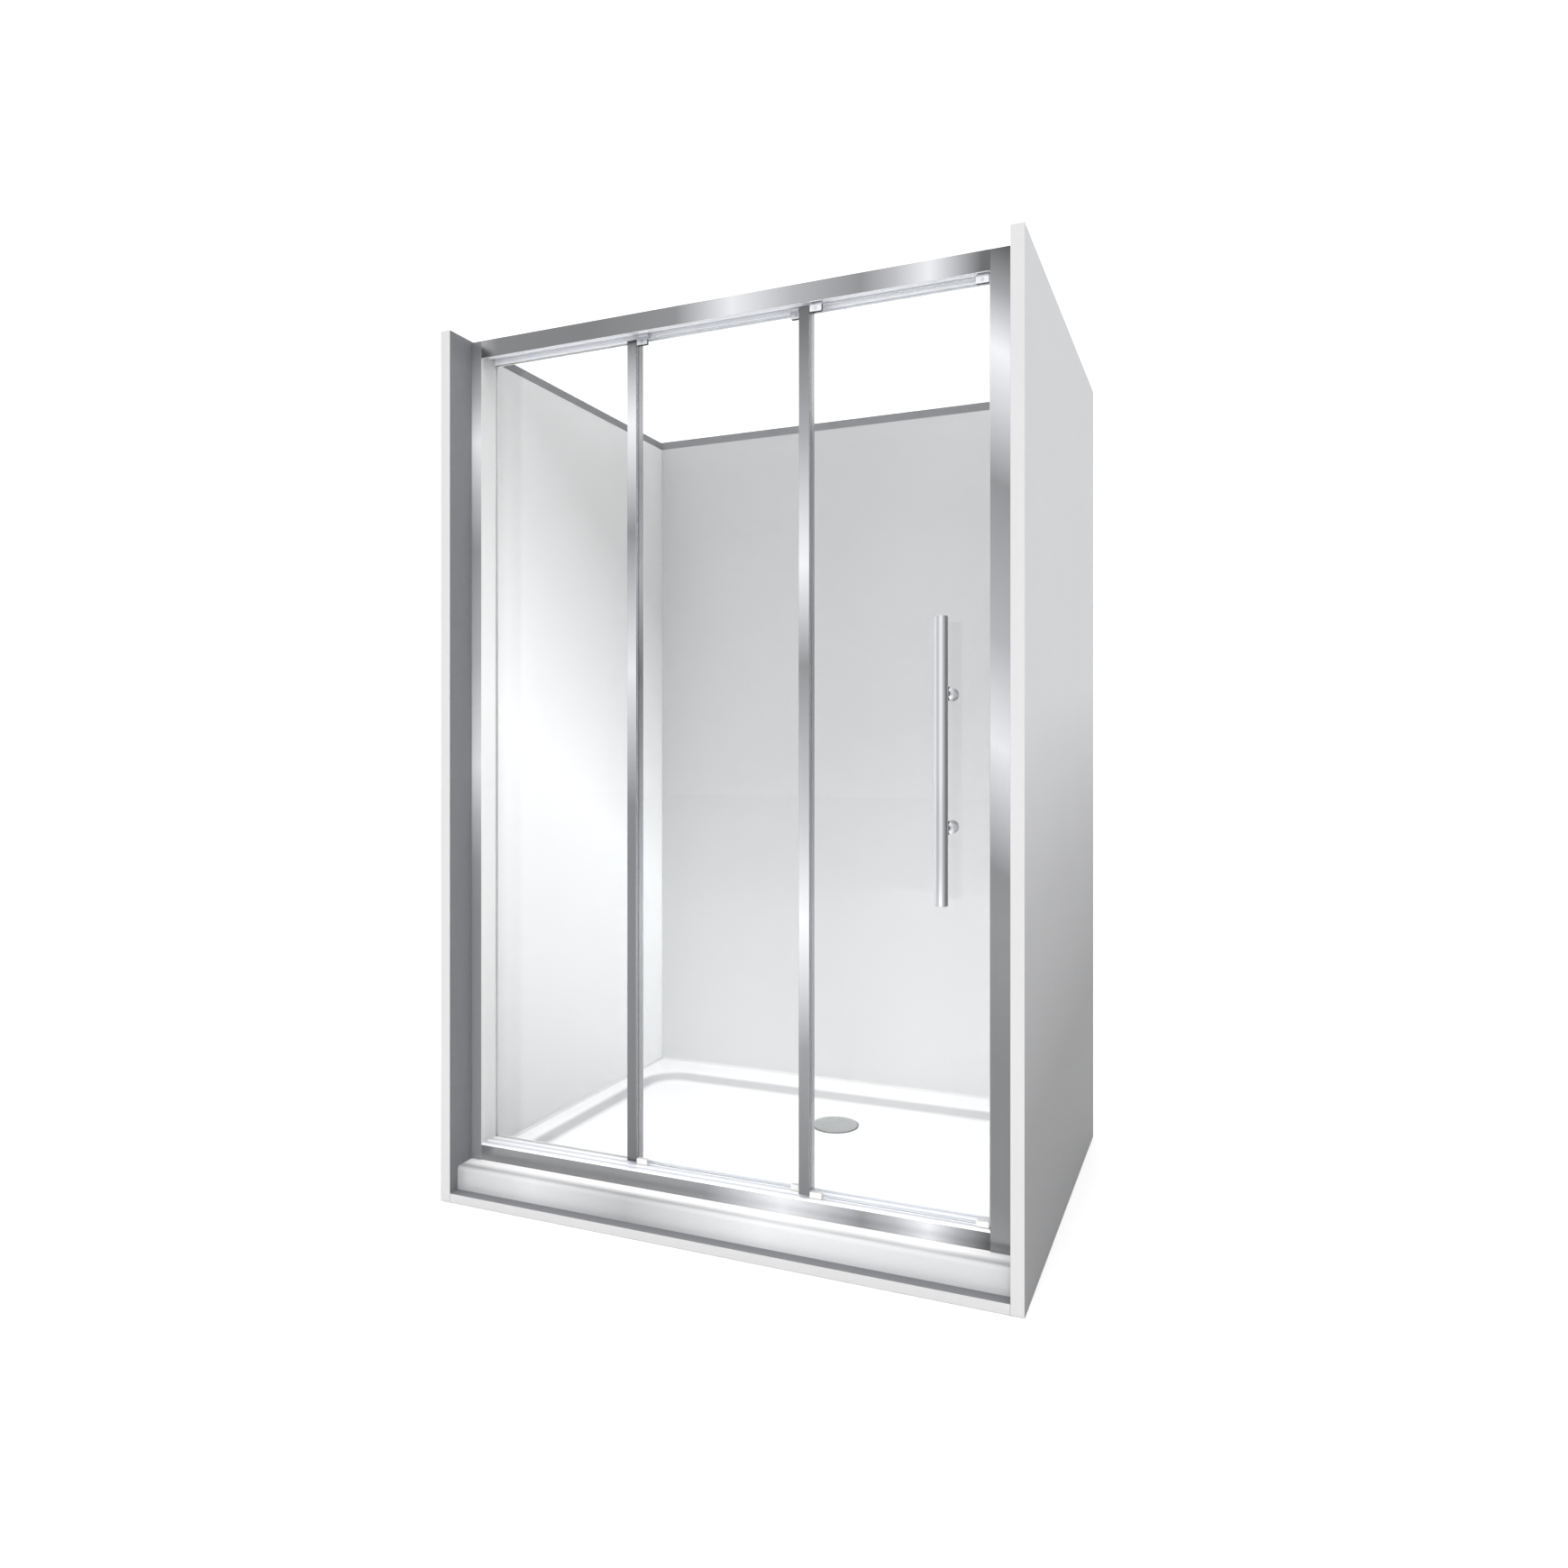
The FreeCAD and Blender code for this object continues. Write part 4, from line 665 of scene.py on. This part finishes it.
def settle(piece, node):
    """Puts a piece on its node's body, in the node's place."""
    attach(piece, BODY_OF[node])
    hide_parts(node)


def paint(piece, *finishes):
    """Gives a piece its finishes. Each is a material, or (material, test of centre and normal)."""
    for entry in finishes:
        material, test = entry if isinstance(entry, tuple) else (entry, None)
        piece.data.materials.append(material)
        index = len(piece.data.materials) - 1
        if test is None:
            continue
        for face in piece.data.polygons:
            if test(face.center, face.normal):
                face.material_index = index


def dress(node, material):
    """Gives a CAD node that stays a better material."""
    for place in CAD[node].material_slots:
        place.material = material


# ---------------------------------------------------------------- pieces


# how far edges are rounded, in metres
BOARD_ROUNDING, SHEET_ROUNDING, PROFILE_ROUNDING, PANE_ROUNDING = 0.0012, 0.0008, 0.0004, 0.0006


def make_walls():
    """Boards: light cut edges, inner faces darkened with painted shade that deepens near the top,
    and outer faces with painted shade that darkens downwards.
    """
    # one board in three tones up its height: the lit cut edges, and painted shade on its inner and
    # outer faces
    cut = [(0.0, 0.785), (1.9, 0.75)]
    inner_painted_shade = [(0.0, 0.52), (1.8, 0.52), (1.86, 0.45), (1.9, 0.45)]
    falling = [(0.0, 0.50), (0.345, 0.505), (0.72, 0.625), (1.09, 0.76), (1.9, 0.755)]
    edge = board_finish("board_edge", cut, Z_WAY, WHITE)
    inner = board_finish("board_inner_painted_shade", inner_painted_shade, Z_WAY, BOARD_TINT)
    outer = board_finish("board_outer_painted_shade", falling, (0.0, -0.1, 1.0), OUTER_TINT)
    tests = {
        "wall_panel_left": (lambda c, n: n.x > 0.7, lambda c, n: n.x < -0.7),
        "wall_panel_right": (lambda c, n: n.x < -0.7, lambda c, n: n.x > 0.7),
        "wall_panel_back": (lambda c, n: n.y < -0.7, lambda c, n: n.y > 0.7),
        "base_panel": (lambda c, n: n.z > 0.7, lambda c, n: n.y > 0.7),
    }
    for node, (is_inner, is_outer) in tests.items():
        piece = soften(node, BOARD_ROUNDING, 3)
        paint(piece, edge, (inner, is_inner), (outer, is_outer))


def make_liners():
    """Acrylic sheets. A painted soft highlight crosses the left one on the slant; painted shade
    darkens the back one towards the top, and painted light lifts the left one further in and the
    back one towards both sides.
    """
    # painted highlight across the left sheet, with painted shade above and below it
    slant = [
        (-0.15, 0.92),
        (-0.02, 0.94),
        (0.33, 1.03),
        (0.86, 1.12),
        (1.65, 0.815),
        (2.2, 0.79),
    ]
    # painted light that lifts the left sheet further in
    deeper_painted_light = [(-0.34, 0.99), (-0.15, 1.0), (0.2, 1.07), (0.45, 1.17)]
    tilted = (0.0, 0.633, 1.0)
    left = sheet_finish("liner_left_acrylic_painted_highlight", slant, tilted, LEFT_TINT, deeper_painted_light, Y_WAY)
    # painted shade on the back sheet, darker towards the top, and painted light that lifts its two
    # sides
    fade = [(-1.95, 0.68), (-1.0, 0.775), (-0.1, 0.92)]
    corners = [(-0.6, 1.06), (-0.3, 1.02), (0.0, 0.99), (0.2, 1.03), (0.5, 1.14)]
    falling = (0.3, 0.0, -1.0)
    back = sheet_finish("liner_back_acrylic_painted_shade", fade, falling, BACK_TINT, corners, X_WAY)
    for node, material in (
        ("wall_liner_left", left),
        ("wall_liner_right", left),
        ("wall_liner_back", back),
    ):
        piece = soften(node, SHEET_ROUNDING)
        lower_top(piece)
        paint(piece, material)


# how far the sheets' tops come down, and how near to the top a corner moves with it
SHEET_DROP, TOP_REACH = 0.005, 0.01


def lower_top(piece):
    """Lowers the top edge of a sheet."""
    shape = open_shape(piece, "VERT")
    top = max(corner.co.z for corner in shape.verts)
    for corner in shape.verts:
        corner.select_set(corner.co.z > top - TOP_REACH)
    bmesh.update_edit_mesh(piece.data)
    bpy.ops.transform.translate(value=(0.0, 0.0, -SHEET_DROP))
    bpy.ops.object.mode_set(mode="OBJECT")


# the tray in metres: widths of its rim, form of its basin, radii and levels round the waste
RIM_SIDE, RIM_FRONT, RIM_BACK = 0.040, 0.125, 0.085
BASIN_DEPTH, BASIN_DRAFT, BASIN_CORNER, BASIN_FALL = 0.022, 0.028, 0.090, 0.006
WASTE_RING, WASTE_SEAT, WASTE_HOLE, NUT_ROOM = 0.059, 0.005, 0.045, 0.060
SEAT_THICKNESS = 0.009
APRON_ROUNDING, RIM_ROUNDING, FOOT_ROUNDING = 0.008, 0.010, 0.014
# where the apron's painted bands of light and shade start and end to fade, behind its front
LEDGE_START, LEDGE_END = 0.008, 0.036
# how far cutters reach beyond what they cut, and what counts as the same place
OVER_BASIN, OVER_SEAT, UNDER_TRAY = 0.02, 0.004, 0.01
CLOSE, NEAR = 0.0001, 0.001
# painted bands of light and shade across the apron, as (distance, tone) in metres
APRON_TONES = [
    (-0.60, 0.73),
    (-0.56, 0.74),
    (-0.405, 0.82),
    (-0.18, 0.68),
    (0.12, 0.86),
    (0.60, 0.78),
]


def make_tray():
    """Tray with a soft-edged basin that falls to the waste."""
    low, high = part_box("shower_tray")
    tray = add_block("shower_tray_piece", low, high)
    at_front = lambda c: c.z > high.z - NEAR and c.y < low.y + NEAR
    round_edges(tray, at_front, APRON_ROUNDING)

    floor = high.z - BASIN_DEPTH
    corner = Vector((low.x + RIM_SIDE, low.y + RIM_FRONT, floor))
    far = Vector((high.x - RIM_SIDE, high.y - RIM_BACK, high.z))
    basin = add_block("basin", corner, far + Vector((0.0, 0.0, OVER_BASIN)))
    select_edges(basin, is_upright)
    bevel_picked(BASIN_CORNER, BASIN_STEPS)
    middle = (corner + far) / 2.0
    select_faces(basin, lambda c, n: n.z < -0.9)
    span = far - corner
    shrink = (1.0 - 2.0 * BASIN_DRAFT / span.x, 1.0 - 2.0 * BASIN_DRAFT / span.y, 1.0)
    bpy.ops.transform.resize(value=shrink, center_override=(middle.x, middle.y, floor))
    bpy.ops.object.mode_set(mode="OBJECT")
    round_edges(basin, lambda c: c.z < floor + CLOSE, FOOT_ROUNDING)

    cover_low, cover_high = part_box("waste_cover")
    waste = (cover_low + cover_high) / 2.0
    select_faces(basin, lambda c, n: n.z < -0.99 and c.z < floor + CLOSE)
    bpy.ops.mesh.extrude_region_move(TRANSFORM_OT_translate={"value": (0.0, 0.0, -BASIN_FALL)})
    narrow = (2.0 * WASTE_RING / span.x, 2.0 * WASTE_RING / span.y, 1.0)
    bpy.ops.transform.resize(value=narrow, center_override=(waste.x, waste.y, floor))
    bpy.ops.object.mode_set(mode="OBJECT")
    cut_away(tray, basin)
    inside = lambda c: (
        c.z > high.z - CLOSE
        and corner.x - NEAR < c.x < far.x + NEAR
        and corner.y - NEAR < c.y < far.y + NEAR
    )
    round_edges(tray, inside, RIM_ROUNDING)
    ring = floor - BASIN_FALL
    seat = ring - WASTE_SEAT
    bottom = low.z - UNDER_TRAY
    cut_away(tray, add_rod("seat", waste, WASTE_RING, seat, ring + OVER_SEAT))
    cut_away(tray, add_rod("hole", waste, WASTE_HOLE, bottom, ring))
    cut_away(tray, add_rod("nut_room", waste, NUT_ROOM, bottom, seat - SEAT_THICKNESS))
    smooth(tray, 40.0)
    settle(tray, "shower_tray")
    ledge = (low.y + LEDGE_START, low.y + LEDGE_END)
    paint(tray, tray_finish("tray_white_painted_shade", APRON_TONES, ledge))


def is_upright(edge):
    """Whether an edge stands upright."""
    first, second = edge.verts
    return (first.co - second.co).xy.length < CLOSE / 10.0


# painted reflection bands of light and dark on the profiles' fronts and sides, as (distance, tone)
# in metres
HEADER_TONES = [
    (-0.574, 0.68),
    (-0.53, 0.54),
    (-0.30, 0.53),
    (-0.09, 0.59),
    (0.035, 0.95),
    (0.17, 0.73),
    (0.305, 0.60),
    (0.372, 0.77),
    (0.4375, 0.96),
    (0.535, 0.45),
    (0.56, 0.44),
]
SILL_TONES = [
    (-0.574, 0.68),
    (-0.53, 0.57),
    (-0.25, 0.575),
    (-0.02, 0.61),
    (0.145, 0.96),
    (0.307, 0.61),
    (0.372, 0.76),
    (0.436, 0.97),
    (0.49, 0.70),
    (0.545, 0.41),
]
LEFT_JAMB_TONES = [
    (0.07, 0.545),
    (0.60, 0.53),
    (0.72, 0.56),
    (0.83, 0.69),
    (0.937, 0.85),
    (1.18, 0.67),
    (1.413, 0.56),
    (1.53, 0.70),
    (1.651, 0.88),
    (1.75, 0.64),
    (1.85, 0.42),
]
RIGHT_JAMB_TONES = [
    (0.07, 0.60),
    (0.15, 0.53),
    (0.39, 0.505),
    (0.747, 0.545),
    (0.973, 0.94),
    (1.166, 0.73),
    (1.443, 0.60),
    (1.682, 0.99),
    (1.79, 0.66),
    (1.875, 0.40),
]
FIRST_STILE_TONES = [
    (0.09, 0.48),
    (0.50, 0.51),
    (0.857, 0.57),
    (1.138, 0.94),
    (1.429, 0.585),
    (1.657, 0.985),
    (1.847, 0.43),
]
FIRST_STILE_SIDE = [
    (0.09, 0.60),
    (0.628, 0.957),
    (1.148, 0.615),
    (1.332, 0.97),
    (1.847, 0.47),
]
SECOND_STILE_TONES = [
    (0.10, 0.53),
    (0.391, 0.60),
    (0.639, 0.95),
    (1.136, 0.60),
    (1.331, 0.98),
    (1.587, 0.69),
    (1.843, 0.43),
]
SECOND_STILE_SIDE = [(0.10, 0.69), (0.64, 0.82), (1.14, 0.69), (1.33, 0.82), (1.843, 0.6)]
# the left jamb's reveal has a painted highlight up its height
REVEAL_TONES = [(0.08, 0.86), (0.56, 0.97), (1.09, 1.03), (1.88, 0.80)]
# the right jamb's painted reflection bands rise to the left by this share, and are measured at
# this distance
JAMB_TILT, JAMB_MIDDLE = 0.65, 0.575
# how near to a profile's front or side a face lies that takes its tones
FACE_REACH = 0.0005


def make_frame():
    """Aluminium profiles: header, sill, jambs and stiles. Their fronts, and the stiles' sides,
    show painted reflection bands of light and dark.
    """
    inner_across, inner_upright = [(-0.6, 1.1), (0.6, 1.1)], [(0.0, 0.98), (1.9, 0.98)]
    tilted = (JAMB_TILT, 0.0, 1.0)
    right_tones = [(height + JAMB_TILT * JAMB_MIDDLE, tone) for height, tone in RIGHT_JAMB_TONES]
    bright_across = profile_finish("aluminium_across", X_WAY, ACROSS, inner_across, 0.3)
    bright_upright = profile_finish("aluminium_upright", Z_WAY, UPRIGHT, inner_upright, 0.5)
    reveal = profile_finish("jamb_reveal_painted_highlight", Z_WAY, UPRIGHT, REVEAL_TONES, 0.0, LEFT_TINT)
    header = profile_finish("header_front_painted_reflections", X_WAY, ACROSS, HEADER_TONES)
    sill = profile_finish("sill_front_painted_reflections", X_WAY, ACROSS, SILL_TONES, 0.7)
    # the left jamb's front is not metallic, so its painted reflection bands show as they are
    left = profile_finish("left_jamb_front_painted_reflections", Z_WAY, UPRIGHT, LEFT_JAMB_TONES, 0.0)
    right = profile_finish("right_jamb_front_painted_reflections", tilted, UPRIGHT, right_tones)
    first = profile_finish("rear_stile_front_painted_reflections", Z_WAY, UPRIGHT, FIRST_STILE_TONES)
    first_side = profile_finish("rear_stile_side_painted_reflections", Z_WAY, UPRIGHT, FIRST_STILE_SIDE)
    second = profile_finish("lead_stile_front_painted_reflections", Z_WAY, UPRIGHT, SECOND_STILE_TONES)
    second_side = profile_finish("lead_stile_side_painted_reflections", Z_WAY, UPRIGHT, SECOND_STILE_SIDE)
    shown = (
        ("header_track", bright_across, header, None),
        ("sill_track", bright_across, sill, None),
        ("jamb_left", bright_upright, left, reveal),
        ("strike_jamb", bright_upright, right, None),
        ("wall_channel_right", bright_upright, right, None),
        ("fixed_stile", bright_upright, first, first_side),
        ("middle_rear_stile", bright_upright, first, first_side),
        ("middle_lead_stile", bright_upright, second, second_side),
        ("door_stile", bright_upright, second, second_side),
    )
    for node, inside, front, side in shown:
        piece = soften(node, PROFILE_ROUNDING)
        low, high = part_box(node)
        is_front = lambda c, n, y=low[1] + FACE_REACH: c.y < y and n.y < 0.0
        is_side = lambda c, n, x=high[0] - FACE_REACH: c.x > x and n.x > 0.5
        finishes = [inside, (front, is_front)]
        if side:
            finishes.append((side, is_side))
        paint(piece, *finishes)


def make_glass():
    """Toughened panes with polished, faintly green edges."""
    face = glass_finish("clear_glass", (0.985, 0.992, 0.995), 0.002)
    rim = glass_finish("glass_edge", (0.80, 0.90, 0.88), 0.08)
    for node in ("fixed_glass", "middle_glass", "door_glass"):
        piece = soften(node, PANE_ROUNDING, 1)
        paint(piece, face, (rim, lambda c, n: abs(n.y) < 0.9))


# painted highlight and painted shade, by how squarely the chrome faces its light side, from minus
# one to one
CHROME_TONES = [
    (-1.0, 0.86),
    (-0.86, 0.82),
    (-0.58, 0.77),
    (-0.18, 0.97),
    (0.13, 0.76),
    (0.28, 0.66),
    (0.43, 0.53),
    (0.6, 0.44),
    (0.77, 0.52),
    (1.0, 0.74),
]
CHROME_WAY = (0.922, 0.387, 0.0)


def make_handle():
    """Bar handle: round bar, standoffs, and knobs and washers at the glass."""
    chrome = chrome_finish("handle_chrome", CHROME_TONES, CHROME_WAY)
    for node in ("handle_bar", "handle_standoffs", "handle_knobs"):
        smooth_and_paint(node, chrome)
    dress("handle_washers", moulded_finish("washer_plastic", 0.9, (0.3, 0.4)))


def smooth_and_paint(node, material):
    """A CAD node's piece with its form as it is, evenly shaded, in the node's place."""
    piece = start_from(node, f"{node}_piece")
    smooth(piece)
    settle(piece, node)
    paint(piece, material)


def make_waste():
    """Waste with its domed cover."""
    tint = (0.98, 1.0, 1.0)
    satin = metal_finish("waste_cover_satin", 0.94, (0.24, 0.34), 700.0, EVEN, tint)
    smooth_and_paint("waste_cover", satin)
    plastic = moulded_finish("waste_plastic", 0.9, (0.35, 0.5), IVORY)
    for node in ("waste_body", "waste_locknut"):
        dress(node, plastic)


def dress_small_parts():
    """Finishes of the small parts that keep their solids."""
    silicone = moulded_finish("silicone_bead", 0.96, (0.25, 0.4), WHITE, 180.0, 0.00012)
    rubber = moulded_finish("black_rubber", 0.22, (0.5, 0.7), WHITE, 800.0, 0.00006)
    pale_rubber = moulded_finish("pale_rubber", 0.86, (0.45, 0.6), WHITE, 700.0, 0.00005)
    glazing = moulded_finish("clear_glazing_rubber", 0.86, (0.4, 0.55), WHITE, 700.0, 0.00005)
    steel = metal_finish("stainless_steel", 0.9, (0.2, 0.35))
    cast = metal_finish("hanger_zinc", 1.0, (0.3, 0.42), 500.0, EVEN)
    nylon = moulded_finish("guide_nylon", 0.93, (0.35, 0.5), (1.0, 1.0, 0.98))
    acetal = moulded_finish("roller_acetal", 0.9, (0.28, 0.4), IVORY)
    closing = moulded_finish("closing_vinyl", 0.8, (0.3, 0.45))
    magnet = moulded_finish("magnet_strip", 0.3, (0.4, 0.55), (1.0, 0.99, 0.98))
    axles = ("middle_axles", "door_axles")
    screws = ("wall_screws", "middle_clamp_screws", "door_clamp_screws")
    groups = (
        (silicone, ("liner_sealant", "sill_seal")),
        (rubber, ("waste_gasket", "under_gasket")),
        (pale_rubber, ("track_stops", "setting_blocks")),
        (glazing, ("glazing_gaskets",)),
        (steel, axles + screws),
        (cast, ("middle_hangers", "door_hangers")),
        (nylon, ("middle_guides", "door_guides")),
        (acetal, tuple(node for node in CAD if "roller" in node)),
        (closing, ("door_closing_profile",)),
        (magnet, ("door_magnet", "strike_magnet")),
    )
    for material, nodes in groups:
        for node in nodes:
            dress(node, material)


place_camera()
light_room()
lay_floor()
build_moulded_skin()
build_drawn_lines()
build_board_fibre()
make_walls()
make_liners()
make_tray()
make_frame()
make_glass()
make_handle()
make_waste()
dress_small_parts()
